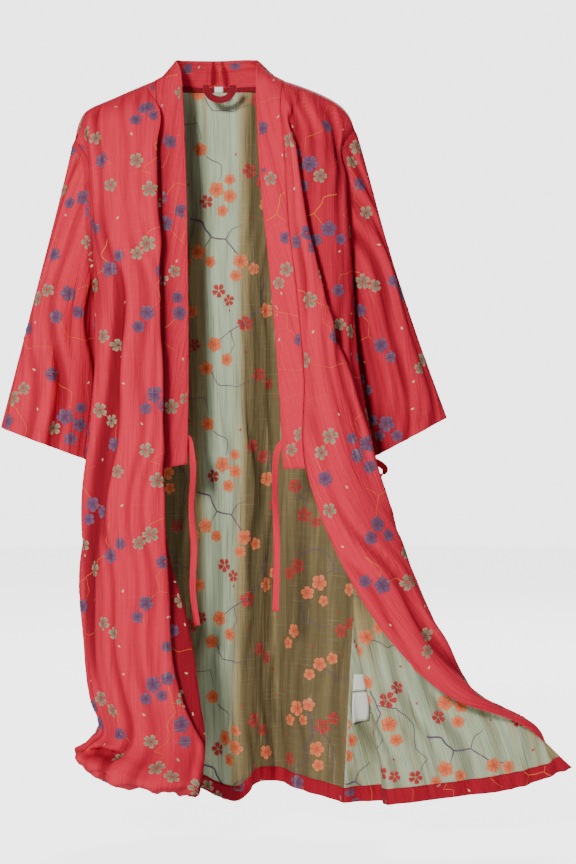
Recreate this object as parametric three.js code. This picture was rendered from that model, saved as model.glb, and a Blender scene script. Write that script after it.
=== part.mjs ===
// A long open robe of yukata cut in crinkled double cotton gauze, filled out as it hangs from inside its shoulders.
// Millimetres. +Z is up, -Y is the front, +X is to a viewer's right. Right and left in names are the wearer's.
// The origin is the middle of the neck at shoulder height, where the robe is held up.
// Distances called down run along the cloth from the shoulder line to the hem.
import * as THREE from "three";

const CLOTH = 1.6; // thickness of the gauze, two layers
const BAND = 2.8; // thickness of the folded collar band
const TURNED = 1.2; // thickness of a turned hem that lies on a panel
const TAPE = 1.4; // thickness of ties, loops and labels
const SEAM = 0.3; // gap between pieces
const LENGTH = 1180; // shoulder to hem
const ARMPIT = 340; // shoulder to the foot of the armhole
const BAND_END = 632; // shoulder to the lower end of the collar band
const ARCH = 46; // how far down the cloth takes to turn from the shoulder to upright
const HEM_TURN = 25; // height of the turned hems

// Colours
const CORAL = 0xc8414b;
const SAGE = 0x8a9a78;
const MAROON = 0x8c2430;
const WHITE = 0xf2f0ec;

// Smooth curve through values at knots, by Hermite pieces with weighted slopes.
function interpolate(knots, values, at) {
  const last = knots.length - 1;
  const t = Math.min(Math.max(at, knots[0]), knots[last]);
  let i = 0;
  while (i < last - 1 && t > knots[i + 1]) i += 1;
  const secant = (k) => (values[k + 1] - values[k]) / (knots[k + 1] - knots[k]);
  const slope = (k) => {
    if (k === 0) return secant(0);
    if (k === last) return secant(last - 1);
    const before = knots[k] - knots[k - 1];
    const after = knots[k + 1] - knots[k];
    return (secant(k - 1) * after + secant(k) * before) / (before + after);
  };
  const h = knots[i + 1] - knots[i];
  const s = (t - knots[i]) / h;
  const s2 = s * s;
  const s3 = s2 * s;
  return (
    (2 * s3 - 3 * s2 + 1) * values[i] +
    (s3 - 2 * s2 + s) * h * slope(i) +
    (3 * s2 - 2 * s3) * values[i + 1] +
    (s3 - s2) * h * slope(i + 1)
  );
}

const column = (rows, name) => rows.map((row) => row[name]);
const read = (rows, key, name, at) => interpolate(column(rows, key), column(rows, name), at);
const mix = (a, b, t) => a + (b - a) * t;
const smooth = (from, to, at) => {
  const t = Math.min(Math.max((at - from) / (to - from), 0), 1);
  return t * t * (3 - 2 * t);
};
const hump = (distance, width) => Math.exp(-((distance / width) ** 2));
const arch = (down) => (down >= ARCH ? 1 : Math.sqrt(1 - (1 - down / ARCH) ** 2));
const slopeLeft = (down) => Math.max(0, 1 - down / ARMPIT); // how much of the shoulder's slope is left

// Shoulder lines, from the armhole (along 0) to the neck (along 1).
const SHOULDER = {
  right: [
    { along: 0, x: -234, z: -92 },
    { along: 0.13, x: -228, z: -66 },
    { along: 0.24, x: -218, z: -47 },
    { along: 0.42, x: -187, z: -31 },
    { along: 0.7, x: -145, z: -12 },
    { along: 1, x: -102, z: 6 },
  ],
  left: [
    { along: 0, x: 226, z: -74 },
    { along: 0.15, x: 218, z: -53 },
    { along: 0.3, x: 205, z: -37 },
    { along: 0.5, x: 180, z: -21 },
    { along: 0.75, x: 145, z: -6 },
    { along: 1, x: 110, z: 6 },
  ],
};

// Side edges of the body: the two edges of each armhole, then one side seam down to the hem.
const ARMHOLE = {
  right: [
    { down: 0, x: -234, front: 0, back: 0 },
    { down: 30, x: -217, front: -15, back: 16 },
    { down: 120, x: -206, front: -28, back: 36 },
    { down: 240, x: -203, front: -24, back: 34 },
    { down: 310, x: -200, front: -8, back: 18 },
    { down: 340, x: -198, front: 6, back: 6 },
  ],
  left: [
    { down: 0, x: 226, front: 0, back: 0 },
    { down: 30, x: 210, front: -14, back: 16 },
    { down: 120, x: 208, front: -26, back: 36 },
    { down: 240, x: 215, front: -22, back: 34 },
    { down: 310, x: 219, front: -7, back: 18 },
    { down: 340, x: 221, front: 6, back: 6 },
  ],
};
const SIDE_SEAM = {
  right: [
    { down: 340, x: -198, y: 6 },
    { down: 480, x: -194, y: 8 },
    { down: 760, x: -191, y: 14 },
    { down: 1000, x: -188, y: 18 },
    { down: 1180, x: -190, y: 24 },
  ],
  left: [
    { down: 340, x: 221, y: 6 },
    { down: 480, x: 230, y: 8 },
    { down: 640, x: 244, y: 10 },
    { down: 760, x: 234, y: 15 },
    { down: 1000, x: 218, y: 25 },
    { down: 1180, x: 209, y: 30 },
  ],
};

// The fronts: a row for each section, each point [x, y, lift above the row].
// On the right front the cloth rounds forward from the side, folds over at its inner edge and tucks behind.
const RIGHT_FRONT = {
  side: "right",
  across: { round: 75, outer: 130, inner: 175, fold: 205, tuck: 227, edge: 248 },
  rows: [
    { down: 30, round: [-204, -42], outer: [-170, -50], inner: [-130, -56], fold: [-99, -56], tuck: [-109, -44], edge: [-98, -40] },
    { down: 120, round: [-197, -60], outer: [-160, -76], inner: [-122, -83], fold: [-95, -82], tuck: [-107, -67], edge: [-92, -60] },
    { down: 240, round: [-190, -68], outer: [-155, -88], inner: [-118, -95], fold: [-92, -92], tuck: [-105, -75], edge: [-88, -66] },
    { down: 340, round: [-190, -66], outer: [-154, -94], inner: [-116, -103], fold: [-88, -99], tuck: [-103, -81], edge: [-86, -70] },
    { down: 480, round: [-192, -62], outer: [-154, -101], inner: [-114, -113], fold: [-85, -107], tuck: [-101, -88], edge: [-84, -76] },
    { down: 640, round: [-210, -58], outer: [-160, -106], inner: [-116, -121], fold: [-82, -115], tuck: [-98, -95], edge: [-83, -83] },
    { down: 760, round: [-214, -60], outer: [-162, -110], inner: [-114, -127], fold: [-77, -122], tuck: [-93, -102], edge: [-76, -90] },
    { down: 880, round: [-211, -66], outer: [-158, -114], inner: [-110, -133], fold: [-71, -130], tuck: [-82, -109], edge: [-43, -98] },
    { down: 1000, round: [-199, -73], outer: [-150, -120], inner: [-96, -141], fold: [-48, -141], tuck: [-62, -119], edge: [-24, -107] },
    { down: 1072, round: [-182, -80, 12], outer: [-136, -126, 4], inner: [-76, -149], fold: [-18, -152], tuck: [-34, -130], edge: [-15, -116] },
    { down: 1130, round: [-221, -92, 34], outer: [-163, -164, 14], inner: [-96, -192, 6], fold: [-27, -190, 2], tuck: [-36, -160, -6], edge: [-22, -140, -10] },
    { down: 1180, round: [-196, -66, 52], outer: [-150, -118, 44], inner: [-95, -140, 38], fold: [-40, -142, 32], tuck: [-42, -124, 28], edge: [-30, -112, 24] },
  ],
};
// On the left front the cloth turns at a long slanting fold, and its foot sweeps out to the side and shows its inside.
const LEFT_FRONT = {
  side: "left",
  across: { hollow: 32, ridge: 68, sweep: 112, turn: 165, fold: 190, face: 228, edge: 266 },
  rows: [
    { down: 30, hollow: [203, -28], ridge: [190, -37], sweep: [164, -44], turn: [132, -48], fold: [125, -54], face: [116, -54], edge: [106, -48] },
    { down: 120, hollow: [207, -46], ridge: [197, -58], sweep: [165, -63], turn: [122, -60], fold: [130, -78], face: [121, -80], edge: [112, -70] },
    { down: 240, hollow: [216, -45], ridge: [208, -62], sweep: [182, -71], turn: [136, -70], fold: [148, -91], face: [134, -95], edge: [119, -84] },
    { down: 340, hollow: [222, -22], ridge: [217, -48], sweep: [196, -67], turn: [160, -76], fold: [173, -99], face: [152, -104], edge: [131, -90] },
    { down: 480, hollow: [232, -14], ridge: [232, -36], sweep: [224, -57], turn: [199, -79], fold: [212, -102], face: [178, -113], edge: [143, -98] },
    { down: 640, hollow: [250, -8], ridge: [255, -27], sweep: [258, -46], turn: [258, -68], fold: [261, -92], face: [206, -120], edge: [148, -108] },
    { down: 760, hollow: [252, 18], ridge: [238, -10], sweep: [270, -18, -4], turn: [297, -42, -6], fold: [307, -84, -10], face: [252, -122, -14], edge: [200, -120, -18] },
    { down: 880, hollow: [254, 36], ridge: [226, -26], sweep: [288, -22, -4], turn: [346, -38, -8], fold: [361, -74, -14], face: [320, -108, -20], edge: [278, -116, -23] },
    { down: 990, hollow: [264, 44], ridge: [246, -40], sweep: [330, -36, 0], turn: [411, -44, 0], fold: [424, -64, -4], face: [400, -84, -6], edge: [376, -94, -8] },
    { down: 1085, hollow: [272, 50], ridge: [266, -52, 4], sweep: [372, -50, 12], turn: [482, -46, 30], fold: [518, -44, 31], face: [509, -60, 36], edge: [495, -70, 39] },
    { down: 1180, hollow: [276, 54, -10], ridge: [280, -62, 3], sweep: [392, -60, 16], turn: [492, -44, 28], fold: [540, -32, 42], face: [561, -28, 50], edge: [582, -25, 58] },
  ],
};

// Soft folds of the back, from shoulder (top) to hem (foot). Forward is towards the front.
const BACK_FOLDS = [
  { name: "left ridge", x: { top: -118, foot: -140 }, width: 26, forward: { top: 0, foot: 16 } },
  { name: "left valley", x: { top: -62, foot: -74 }, width: 28, forward: { top: -2, foot: -18 } },
  { name: "middle roll", x: { top: 34, foot: 40 }, width: 31, forward: { top: 4, foot: 44 } },
  { name: "deep valley", x: { top: 88, foot: 102 }, width: 21, forward: { top: -4, foot: -24 } },
  { name: "right ridge", x: { top: 128, foot: 156 }, width: 24, forward: { top: 0, foot: 20 } },
];
const BACK_DEPTH = [
  { down: 0, y: 57 },
  { down: 120, y: 60 },
  { down: 340, y: 66 },
  { down: 760, y: 84 },
  { down: 1180, y: 96 },
];
// How far the hem of the back and of the sides is drawn up, where it meets the floor or folds.
const HEM_LIFT = [
  { x: -190, lift: 50 },
  { x: -120, lift: 32 },
  { x: -60, lift: 16 },
  { x: -25, lift: 1 },
  { x: 12, lift: -12 },
  { x: 37, lift: -9 },
  { x: 62, lift: 15 },
  { x: 95, lift: 14 },
  { x: 140, lift: 5 },
  { x: 209, lift: -10 },
];
const NECK_SHARE = { from: 0.31, to: 0.71 }; // the part of the back's top edge that is the neck
const NECK_DROP = 7; // how far the back neck dips below the shoulder points

// Rows and columns at which the walls are built.
const ROWS = [
  0, 4, 12, 25, 45, 75, 115, 160, 205, 250, 295, 340, 390, 440, 490, 540, 588, 632, 680, 725, 770, 815, 860,
  905, 950, 990, 1028, 1062, 1090, 1112, 1134, 1155, 1180,
];
const ARMHOLE_ROWS = ROWS.filter((down) => down <= ARMPIT);
const BAND_ROWS = ROWS.filter((down) => down <= BAND_END);
const HEM_ROWS = ROWS.filter((down) => down >= LENGTH - HEM_TURN);
const STEPS = { wide: 4, middle: 3, narrow: 2 };

function between(stations, steps) {
  const out = [stations[0]];
  for (let i = 1; i < stations.length; i += 1) {
    for (let k = 1; k <= steps[i - 1]; k += 1) {
      out.push(mix(stations[i - 1], stations[i], k / steps[i - 1]));
    }
  }
  return out;
}

const shoulderPoint = (side, along) => ({
  x: read(SHOULDER[side], "along", "x", along),
  z: read(SHOULDER[side], "along", "z", along),
});

const hemLift = (x, down) => read(HEM_LIFT, "x", "lift", x) * smooth(900, LENGTH, down);

function sidePoint(side, down, face) {
  const z = -down + slopeLeft(down) * SHOULDER[side][0].z;
  if (down > ARMPIT) {
    const x = read(SIDE_SEAM[side], "down", "x", down);
    return new THREE.Vector3(x, read(SIDE_SEAM[side], "down", "y", down), z + hemLift(x, down));
  }
  return new THREE.Vector3(
    read(ARMHOLE[side], "down", "x", down),
    read(ARMHOLE[side], "down", face, down),
    z,
  );
}

// A point of a front, at a distance across from its side edge and down from the shoulder.
function frontPoint(front, across, down) {
  const names = Object.keys(front.across);
  const knots = [0, ...Object.values(front.across)];
  const width = knots[knots.length - 1];
  const downs = [0, ...column(front.rows, "down")];
  const top = (at) => shoulderPoint(front.side, at / width);
  const side = sidePoint(front.side, down, "front");
  const xs = [side.x];
  const ys = [side.y / Math.max(arch(down), 0.05)];
  const lifts = [hemLift(side.x, down)];
  for (const name of names) {
    const cells = column(front.rows, name);
    xs.push(interpolate(downs, [top(front.across[name]).x, ...cells.map((c) => c[0])], down));
    ys.push(interpolate(downs, [cells[0][1] * 0.8, ...cells.map((c) => c[1])], down));
    lifts.push(interpolate(downs, [0, ...cells.map((c) => c[2] ?? 0)], down));
  }
  return new THREE.Vector3(
    interpolate(knots, xs, across),
    interpolate(knots, ys, across) * arch(down),
    -down + slopeLeft(down) * top(across).z + interpolate(knots, lifts, across),
  );
}

// The top edge of the back: up one shoulder, round the neck and down the other.
function backTop(share) {
  const { from, to } = NECK_SHARE;
  if (share <= from) return { ...shoulderPoint("right", share / from), y: 0 };
  if (share >= to) return { ...shoulderPoint("left", (1 - share) / (1 - to)), y: 0 };
  const turn = ((share - from) / (to - from)) * Math.PI;
  const ends = [shoulderPoint("right", 1), shoulderPoint("left", 1)];
  return {
    x: mix(ends[0].x, ends[1].x, (1 - Math.cos(turn)) / 2),
    y: BACK_DEPTH[0].y * Math.sin(turn) ** 0.8,
    z: ends[0].z - NECK_DROP * Math.sin(turn),
  };
}

function backPoint(share, down) {
  const right = sidePoint("right", down, "back");
  const left = sidePoint("left", down, "back");
  const top = backTop(share);
  const ends = [SHOULDER.right[0].x, SHOULDER.left[0].x];
  const drawn = (top.x - mix(ends[0], ends[1], share)) * (1 - smooth(0, 230, down));
  const x = mix(right.x, left.x, share) + drawn;
  const inside = 1 - Math.abs(2 * share - 1) ** 3;
  const sideY = mix(right.y, left.y, share);
  const foot = down / LENGTH;
  let y = mix(sideY, read(BACK_DEPTH, "down", "y", down), inside);
  for (const fold of BACK_FOLDS) {
    const middle = mix(fold.x.top, fold.x.foot, foot);
    const forward = mix(fold.forward.top, fold.forward.foot, foot ** 0.8);
    y -= forward * hump(x - middle, fold.width) * inside;
  }
  const z = -down + slopeLeft(down) * top.z + hemLift(x, down);
  const atSide = share === 0 || share === 1;
  return new THREE.Vector3(x, atSide ? sideY : mix(top.y, y, arch(down)), z);
}

// A grid of points with outward normals. Sign turns the normals to the outside.
function surface(rows, cols, point, sign, closed = false) {
  const points = rows.map((r) => cols.map((c) => point(c, r)));
  return { points, normals: normalsOf(points, sign, closed), closed };
}

function normalsOf(points, sign, closed) {
  const count = points[0].length;
  return points.map((row, i) =>
    row.map((p, j) => {
      const up = points[Math.max(i - 1, 0)][j];
      const downward = points[Math.min(i + 1, points.length - 1)][j];
      const before = closed ? row[(j + count - 1) % count] : row[Math.max(j - 1, 0)];
      const after = closed ? row[(j + 1) % count] : row[Math.min(j + 1, count - 1)];
      const acrossWay = after.clone().sub(before);
      const downWay = downward.clone().sub(up);
      return acrossWay.cross(downWay).multiplyScalar(sign).normalize();
    }),
  );
}

// Gives both sides of a seam the same normals, so that their walls meet face to face.
function share(...edges) {
  for (let i = 0; i < edges[0].length; i += 1) {
    const sum = new THREE.Vector3();
    for (const edge of edges) sum.add(edge[i]);
    sum.normalize();
    for (const edge of edges) edge[i].copy(sum);
  }
}

const firstColumn = (grid, rows) => rows.map((i) => grid.normals[i][0]);
const lastColumn = (grid, rows) => rows.map((i) => grid.normals[i][grid.normals[i].length - 1]);

// Draws the named edges of a grid back from their seams, square to the seam.
function inset(grid, { top = false, first = false, last = false, gap = SEAM / 2 }) {
  const { points, closed } = grid;
  const rowsOf = points.map((row) => row.map((p) => p.clone()));
  const count = points[0].length;
  const pull = (i, j, towards, before, after) => {
    const along = after.clone().sub(before).normalize();
    const way = towards.clone().sub(rowsOf[i][j]);
    way.addScaledVector(along, -way.dot(along));
    points[i][j].addScaledVector(way.normalize(), gap);
  };
  const step = (j, by) => (closed ? (j + by + count) % count : Math.min(Math.max(j + by, 0), count - 1));
  rowsOf.forEach((row, i) => {
    const above = rowsOf[Math.max(i - 1, 0)];
    const below = rowsOf[Math.min(i + 1, rowsOf.length - 1)];
    if (first) pull(i, 0, row[1], above[0], below[0]);
    if (last) pull(i, count - 1, row[count - 2], above[count - 1], below[count - 1]);
  });
  if (top) rowsOf[0].forEach((_, j) => pull(0, j, rowsOf[1][j], rowsOf[0][step(j, -1)], rowsOf[0][step(j, 1)]));
}

// A closed wall round a grid, from one offset along its normals to another.
function wall(grid, low, high) {
  const { points, normals, closed } = grid;
  const rowCount = points.length;
  const colCount = points[0].length;
  const vertices = [];
  for (const offset of [high, low]) {
    for (let i = 0; i < rowCount; i += 1) {
      for (let j = 0; j < colCount; j += 1) {
        vertices.push(points[i][j].clone().addScaledVector(normals[i][j], offset));
      }
    }
  }
  const size = rowCount * colCount;
  const at = (layer, i, j) => layer * size + i * colCount + (j % colCount);
  const faces = [];
  const quad = (a, b, c, d) => faces.push(a, b, c, a, c, d);
  const spans = closed ? colCount : colCount - 1;
  for (let i = 0; i < rowCount - 1; i += 1) {
    for (let j = 0; j < spans; j += 1) {
      quad(at(0, i, j), at(0, i, j + 1), at(0, i + 1, j + 1), at(0, i + 1, j));
      quad(at(1, i, j), at(1, i + 1, j), at(1, i + 1, j + 1), at(1, i, j + 1));
    }
  }
  for (let j = 0; j < spans; j += 1) {
    const end = rowCount - 1;
    quad(at(0, 0, j), at(1, 0, j), at(1, 0, j + 1), at(0, 0, j + 1));
    quad(at(0, end, j), at(0, end, j + 1), at(1, end, j + 1), at(1, end, j));
  }
  if (!closed) {
    const end = colCount - 1;
    for (let i = 0; i < rowCount - 1; i += 1) {
      quad(at(0, i, 0), at(0, i + 1, 0), at(1, i + 1, 0), at(1, i, 0));
      quad(at(0, i, end), at(1, i, end), at(1, i + 1, end), at(0, i + 1, end));
    }
  }
  if (signedVolume(vertices, faces) < 0) {
    for (let k = 0; k < faces.length; k += 3) [faces[k + 1], faces[k + 2]] = [faces[k + 2], faces[k + 1]];
  }
  const geometry = new THREE.BufferGeometry();
  geometry.setAttribute("position", new THREE.Float32BufferAttribute(vertices.flatMap((v) => v.toArray()), 3));
  geometry.setIndex(faces);
  geometry.computeVertexNormals();
  return geometry;
}

function signedVolume(vertices, faces) {
  let volume = 0;
  for (let k = 0; k < faces.length; k += 3) {
    const [a, b, c] = [faces[k], faces[k + 1], faces[k + 2]].map((n) => vertices[n]);
    volume += a.dot(b.clone().cross(c));
  }
  return volume;
}

// The wall of a whole garment piece, centred on its grid.
const clothWall = (grid, thickness = CLOTH) => wall(grid, -thickness / 2, thickness / 2);

// A turned hem on the inside of a piece, made from the piece's points.
function turnedWall(grid, rows, lastColumnIndex) {
  const part = {
    points: rows.map((i) => grid.points[i].slice(0, lastColumnIndex)),
    normals: rows.map((i) => grid.normals[i].slice(0, lastColumnIndex)),
    closed: grid.closed,
  };
  const skin = -CLOTH / 2 - SEAM;
  return wall(part, skin - TURNED, skin);
}

const robe = new THREE.Group();

function add(name, geometry, colour, roughness = 0.9) {
  const material = new THREE.MeshStandardMaterial({ color: colour, roughness, metalness: 0 });
  const mesh = new THREE.Mesh(geometry, material);
  mesh.name = name;
  robe.add(mesh);
}

// Body panels

const rightStations = [0, ...Object.values(RIGHT_FRONT.across)];
const leftStations = [0, ...Object.values(LEFT_FRONT.across)];
const { wide, middle, narrow } = STEPS;
const rightColumns = between(rightStations, [wide, middle, narrow, middle, wide, narrow]);
const leftColumns = between(leftStations, [middle, middle, middle, middle, middle, middle, narrow]);
const backColumns = between(
  [0, NECK_SHARE.from, NECK_SHARE.to, 1],
  [3 * wide, 4 * middle, 3 * wide],
);

const rightFront = surface(ROWS, rightColumns, (c, r) => frontPoint(RIGHT_FRONT, c, r), -1);
const leftFront = surface(ROWS, leftColumns, (c, r) => frontPoint(LEFT_FRONT, c, r), 1);
const back = surface(ROWS, backColumns, backPoint, 1);

// At the shoulders both walls end upright, on either side of the shoulder line.
function squareShoulder(grid, from, to) {
  for (let j = from; j <= to; j += 1) {
    const before = grid.points[0][Math.max(j - 1, from)];
    const after = grid.points[0][Math.min(j + 1, to)];
    const way = after.clone().sub(before);
    grid.normals[0][j].set(-way.z, 0, way.x).normalize();
    if (grid.normals[0][j].z < 0) grid.normals[0][j].negate();
  }
}
const neckFrom = 3 * wide;
const neckTo = neckFrom + 4 * middle;
squareShoulder(rightFront, 0, rightColumns.length - 1);
squareShoulder(leftFront, 0, leftColumns.length - 1);
squareShoulder(back, 0, neckFrom);
squareShoulder(back, neckTo, backColumns.length - 1);

// Sleeves: tubes from the armholes to the cuffs, wide and flat at the shoulder and rounder below.
const SLEEVE = {
  right: [
    { along: 0, outerX: -234, outerZ: -92, innerX: -198, innerZ: -340, half: 33, outerY: 5, innerY: 6 },
    { along: 0.12, outerX: -248, outerZ: -148, innerX: -200, innerZ: -382, half: 37, outerY: 4, innerY: 22 },
    { along: 0.35, outerX: -277, outerZ: -258, innerX: -199, innerZ: -448, half: 42, outerY: 4, innerY: 32 },
    { along: 0.7, outerX: -320, outerZ: -424, innerX: -200, innerZ: -543, half: 45, outerY: 6, innerY: 34 },
    { along: 1, outerX: -357, outerZ: -565, innerX: -212, innerZ: -620, half: 46, outerY: 8, innerY: 26 },
  ],
  left: [
    { along: 0, outerX: 226, outerZ: -74, innerX: 221, innerZ: -340, half: 32, outerY: 5, innerY: 6 },
    { along: 0.12, outerX: 242, outerZ: -120, innerX: 225, innerZ: -382, half: 36, outerY: 5, innerY: 22 },
    { along: 0.35, outerX: 276, outerZ: -246, innerX: 229, innerZ: -450, half: 41, outerY: 6, innerY: 34 },
    { along: 0.7, outerX: 332, outerZ: -420, innerX: 238, innerZ: -544, half: 44, outerY: 8, innerY: 36 },
    { along: 1, outerX: 379, outerZ: -549, innerX: 255, innerZ: -616, half: 45, outerY: 10, innerY: 28 },
  ],
};
const SLEEVE_FOLDS = [
  { name: "front groove", around: 0.3, width: 0.05, depth: 7 },
  { name: "front roll", around: 0.2, width: 0.05, depth: -5 },
  { name: "back groove", around: 0.68, width: 0.05, depth: 7 },
  { name: "back roll", around: 0.8, width: 0.06, depth: -4 },
];
const SLEEVE_ALONG = [0, 0.03, 0.08, 0.15, 0.24, 0.35, 0.47, 0.6, 0.73, 0.85, 0.945, 1];
const SLEEVE_STEP = [
  { share: 0, out: 5, drop: 10 },
  { share: 0.15, out: 8, drop: 4 },
  { share: 0.8, out: 8, drop: 4 },
  { share: 1, out: 6, drop: 7 },
];

// One turn of the sleeve starts at the shoulder, runs down the front to the armpit and up the back.
function armholeLoop(side) {
  const frontEdge = ARMHOLE_ROWS.map((down) => sidePoint(side, down, "front"));
  const backEdge = ARMHOLE_ROWS.map((down) => sidePoint(side, down, "back"));
  return [...frontEdge, ...backEdge.slice(1, -1).reverse()];
}

function sleeveSurface(side) {
  const loop = armholeLoop(side);
  const sign = side === "right" ? -1 : 1;
  const half = ARMHOLE_ROWS.length - 1;
  const topZ = loop[0].z;
  const footZ = loop[half].z;
  const point = (index, along) => {
    const share = (topZ - loop[index].z) / (topZ - footZ);
    const front = index <= half ? -1 : 1;
    const at = (name) => read(SLEEVE[side], "along", name, along);
    const round = Math.sqrt(Math.max(0, 1 - (1 - 2 * share) ** 2)) ** 0.8;
    const turn = index <= half ? share / 2 : 1 - share / 2;
    const ring = new THREE.Vector3(
      mix(at("outerX"), at("innerX"), share),
      mix(at("outerY"), at("innerY"), share) + front * at("half") * round,
      mix(at("outerZ"), at("innerZ"), share),
    );
    for (const fold of SLEEVE_FOLDS) {
      ring.y -= front * fold.depth * hump(turn - fold.around, fold.width) * smooth(0.1, 0.6, along);
    }
    const step = Math.min(along / SLEEVE_ALONG[1], 1);
    const start = loop[index].clone();
    start.x += sign * step * read(SLEEVE_STEP, "share", "out", share);
    start.z -= step * read(SLEEVE_STEP, "share", "drop", share);
    return start.lerp(ring, smooth(0.01, 0.35, along));
  };
  return surface(SLEEVE_ALONG, loop.map((_, i) => i), point, sign, true);
}
const sleeves = { right: sleeveSurface("right"), left: sleeveSurface("left") };

// Collar band: one strip from the right front's band end, round the neck, to the left front's.
const NECK_LENGTH = 230;
const COLLAR_FREE = [
  { along: -640, x: -46, y: -66, z: -632 },
  { along: -480, x: -44, y: -58, z: -480 },
  { along: -340, x: -45, y: -54, z: -340 },
  { along: -120, x: -50, y: -44, z: -122 },
  { along: -45, x: -54, y: -30, z: -40 },
  { along: 0, x: -60, y: -10, z: 26 },
  { along: 20, x: -67, y: 8, z: 41 },
  { along: 45, x: -57, y: 26, z: 44 },
  { along: 115, x: 0, y: 46, z: 47 },
  { along: 185, x: 57, y: 26, z: 45 },
  { along: 210, x: 67, y: 8, z: 40 },
  { along: 230, x: 64, y: -10, z: 24 },
  { along: 275, x: 65, y: -32, z: -42 },
  { along: 350, x: 69, y: -52, z: -125 },
  { along: 570, x: 90, y: -76, z: -346 },
  { along: 710, x: 101, y: -84, z: -486 },
  { along: 870, x: 110, y: -88, z: -640 },
];
const NECK_GATHERS = { spacing: 13, depth: 1.6, middle: 118, reach: 24 };

function collarSurface() {
  const seam = [];
  for (const down of [...BAND_ROWS].reverse()) {
    const i = ROWS.indexOf(down);
    seam.push({
      along: -down,
      p: rightFront.points[i].at(-1),
      n: rightFront.normals[i].at(-1),
      corner: down === 0,
    });
  }
  for (let j = neckFrom + 1; j < neckTo; j += 1) {
    const along = ((j - neckFrom) / (neckTo - neckFrom)) * NECK_LENGTH;
    seam.push({ along, p: back.points[0][j], n: back.normals[0][j] });
  }
  for (const down of BAND_ROWS) {
    const i = ROWS.indexOf(down);
    seam.push({
      along: NECK_LENGTH + down,
      p: leftFront.points[i].at(-1),
      n: leftFront.normals[i].at(-1),
      corner: down === 0,
    });
  }
  const free = (along) =>
    new THREE.Vector3(
      read(COLLAR_FREE, "along", "x", along),
      read(COLLAR_FREE, "along", "y", along),
      read(COLLAR_FREE, "along", "z", along),
    );
  const shares = [0, 0.12, 0.35, 0.65, 1];
  const points = seam.map(({ along, p }) => {
    const end = free(along);
    const nearMiddle = Math.abs(along - NECK_GATHERS.middle) < NECK_GATHERS.reach;
    return shares.map((s) => {
      const q = p.clone().lerp(end, s);
      if (nearMiddle) {
        const wave = Math.sin(((along - NECK_GATHERS.middle) / NECK_GATHERS.spacing) * 2 * Math.PI);
        q.y -= NECK_GATHERS.depth * wave * Math.sin(Math.PI * Math.min(s * 1.4, 1));
      }
      return q;
    });
  });
  const grid = { points, normals: normalsOf(points, 1, false), closed: false };
  seam.forEach(({ n, corner }, i) => {
    if (corner) grid.normals[i][0].copy(n);
    else share([grid.normals[i][0]], [n]);
  });
  back.normals[0][neckFrom].copy(rightFront.normals[0].at(-1));
  back.normals[0][neckTo].copy(leftFront.normals[0].at(-1));
  return grid;
}

// Seams: shared normals first, then the gaps.
const rowIndexes = ROWS.map((_, i) => i);
const armholeIndexes = ARMHOLE_ROWS.map((_, i) => i);
const belowIndexes = rowIndexes.slice(armholeIndexes.length);
for (const side of ["right", "left"]) {
  const front = side === "right" ? rightFront : leftFront;
  const backEdge = side === "right" ? firstColumn : lastColumn;
  const ring = sleeves[side].normals[0];
  const half = ARMHOLE_ROWS.length - 1;
  const inner = armholeIndexes.slice(1, -1);
  share(firstColumn(front, belowIndexes), backEdge(back, belowIndexes));
  share(firstColumn(front, inner), inner.map((i) => ring[i]));
  share(backEdge(back, inner), inner.map((i) => ring[ring.length - i]));
  share(firstColumn(front, [0]), backEdge(back, [0]), [ring[0]]);
  share(firstColumn(front, [half]), backEdge(back, [half]), [ring[half]]);
}
const collar = collarSurface();

inset(rightFront, { top: true, first: true, last: true });
inset(leftFront, { top: true, first: true, last: true });
inset(back, { top: true, first: true, last: true });
inset(collar, { first: true, gap: 2 * SEAM });
inset(sleeves.right, { top: true, gap: SEAM });
inset(sleeves.left, { top: true, gap: SEAM });

add("back", clothWall(back), CORAL);
add("front_right", clothWall(rightFront), CORAL);
add("front_left", clothWall(leftFront), CORAL);
add("sleeve_right", clothWall(sleeves.right), CORAL);
add("sleeve_left", clothWall(sleeves.left), CORAL);
add("collar", wall(collar, -BAND / 2, BAND / 2), CORAL);

// Turned hems
const hemIndexes = HEM_ROWS.map((down) => ROWS.indexOf(down));
const cuffIndexes = [SLEEVE_ALONG.length - 2, SLEEVE_ALONG.length - 1];
add("hem_back", turnedWall(back, hemIndexes), CORAL);
add("hem_right", turnedWall(rightFront, hemIndexes, wide + middle + narrow + 1), CORAL);
add("hem_left", turnedWall(leftFront, hemIndexes), CORAL);
add("cuff_right", turnedWall(sleeves.right, cuffIndexes), CORAL);
add("cuff_left", turnedWall(sleeves.left, cuffIndexes), CORAL);

// A flat tape along a path. Its width runs along the way that sideAt gives.
function tape(path, width, sideAt, thickness = TAPE) {
  const curve = new THREE.CatmullRomCurve3(path, false, "centripetal");
  const steps = path.length * 3;
  const points = [];
  for (let i = 0; i <= steps; i += 1) {
    const t = i / steps;
    const side = sideAt(t, curve.getTangentAt(t)).setLength(width / 2);
    const middlePoint = curve.getPointAt(t);
    points.push([middlePoint.clone().sub(side), middlePoint.clone().add(side)]);
  }
  const grid = { points, normals: normalsOf(points, 1, false), closed: false };
  return wall(grid, -thickness / 2, thickness / 2);
}

// The tape's face turns from one way at its start to another.
const facing = (from, to) => (t, tangent) =>
  from.clone().lerp(to, smooth(0.02, 0.3, t)).normalize().cross(tangent);
const upright = (way) => () => way.clone();
const FRONT_WAY = new THREE.Vector3(0, -1, 0);

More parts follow.
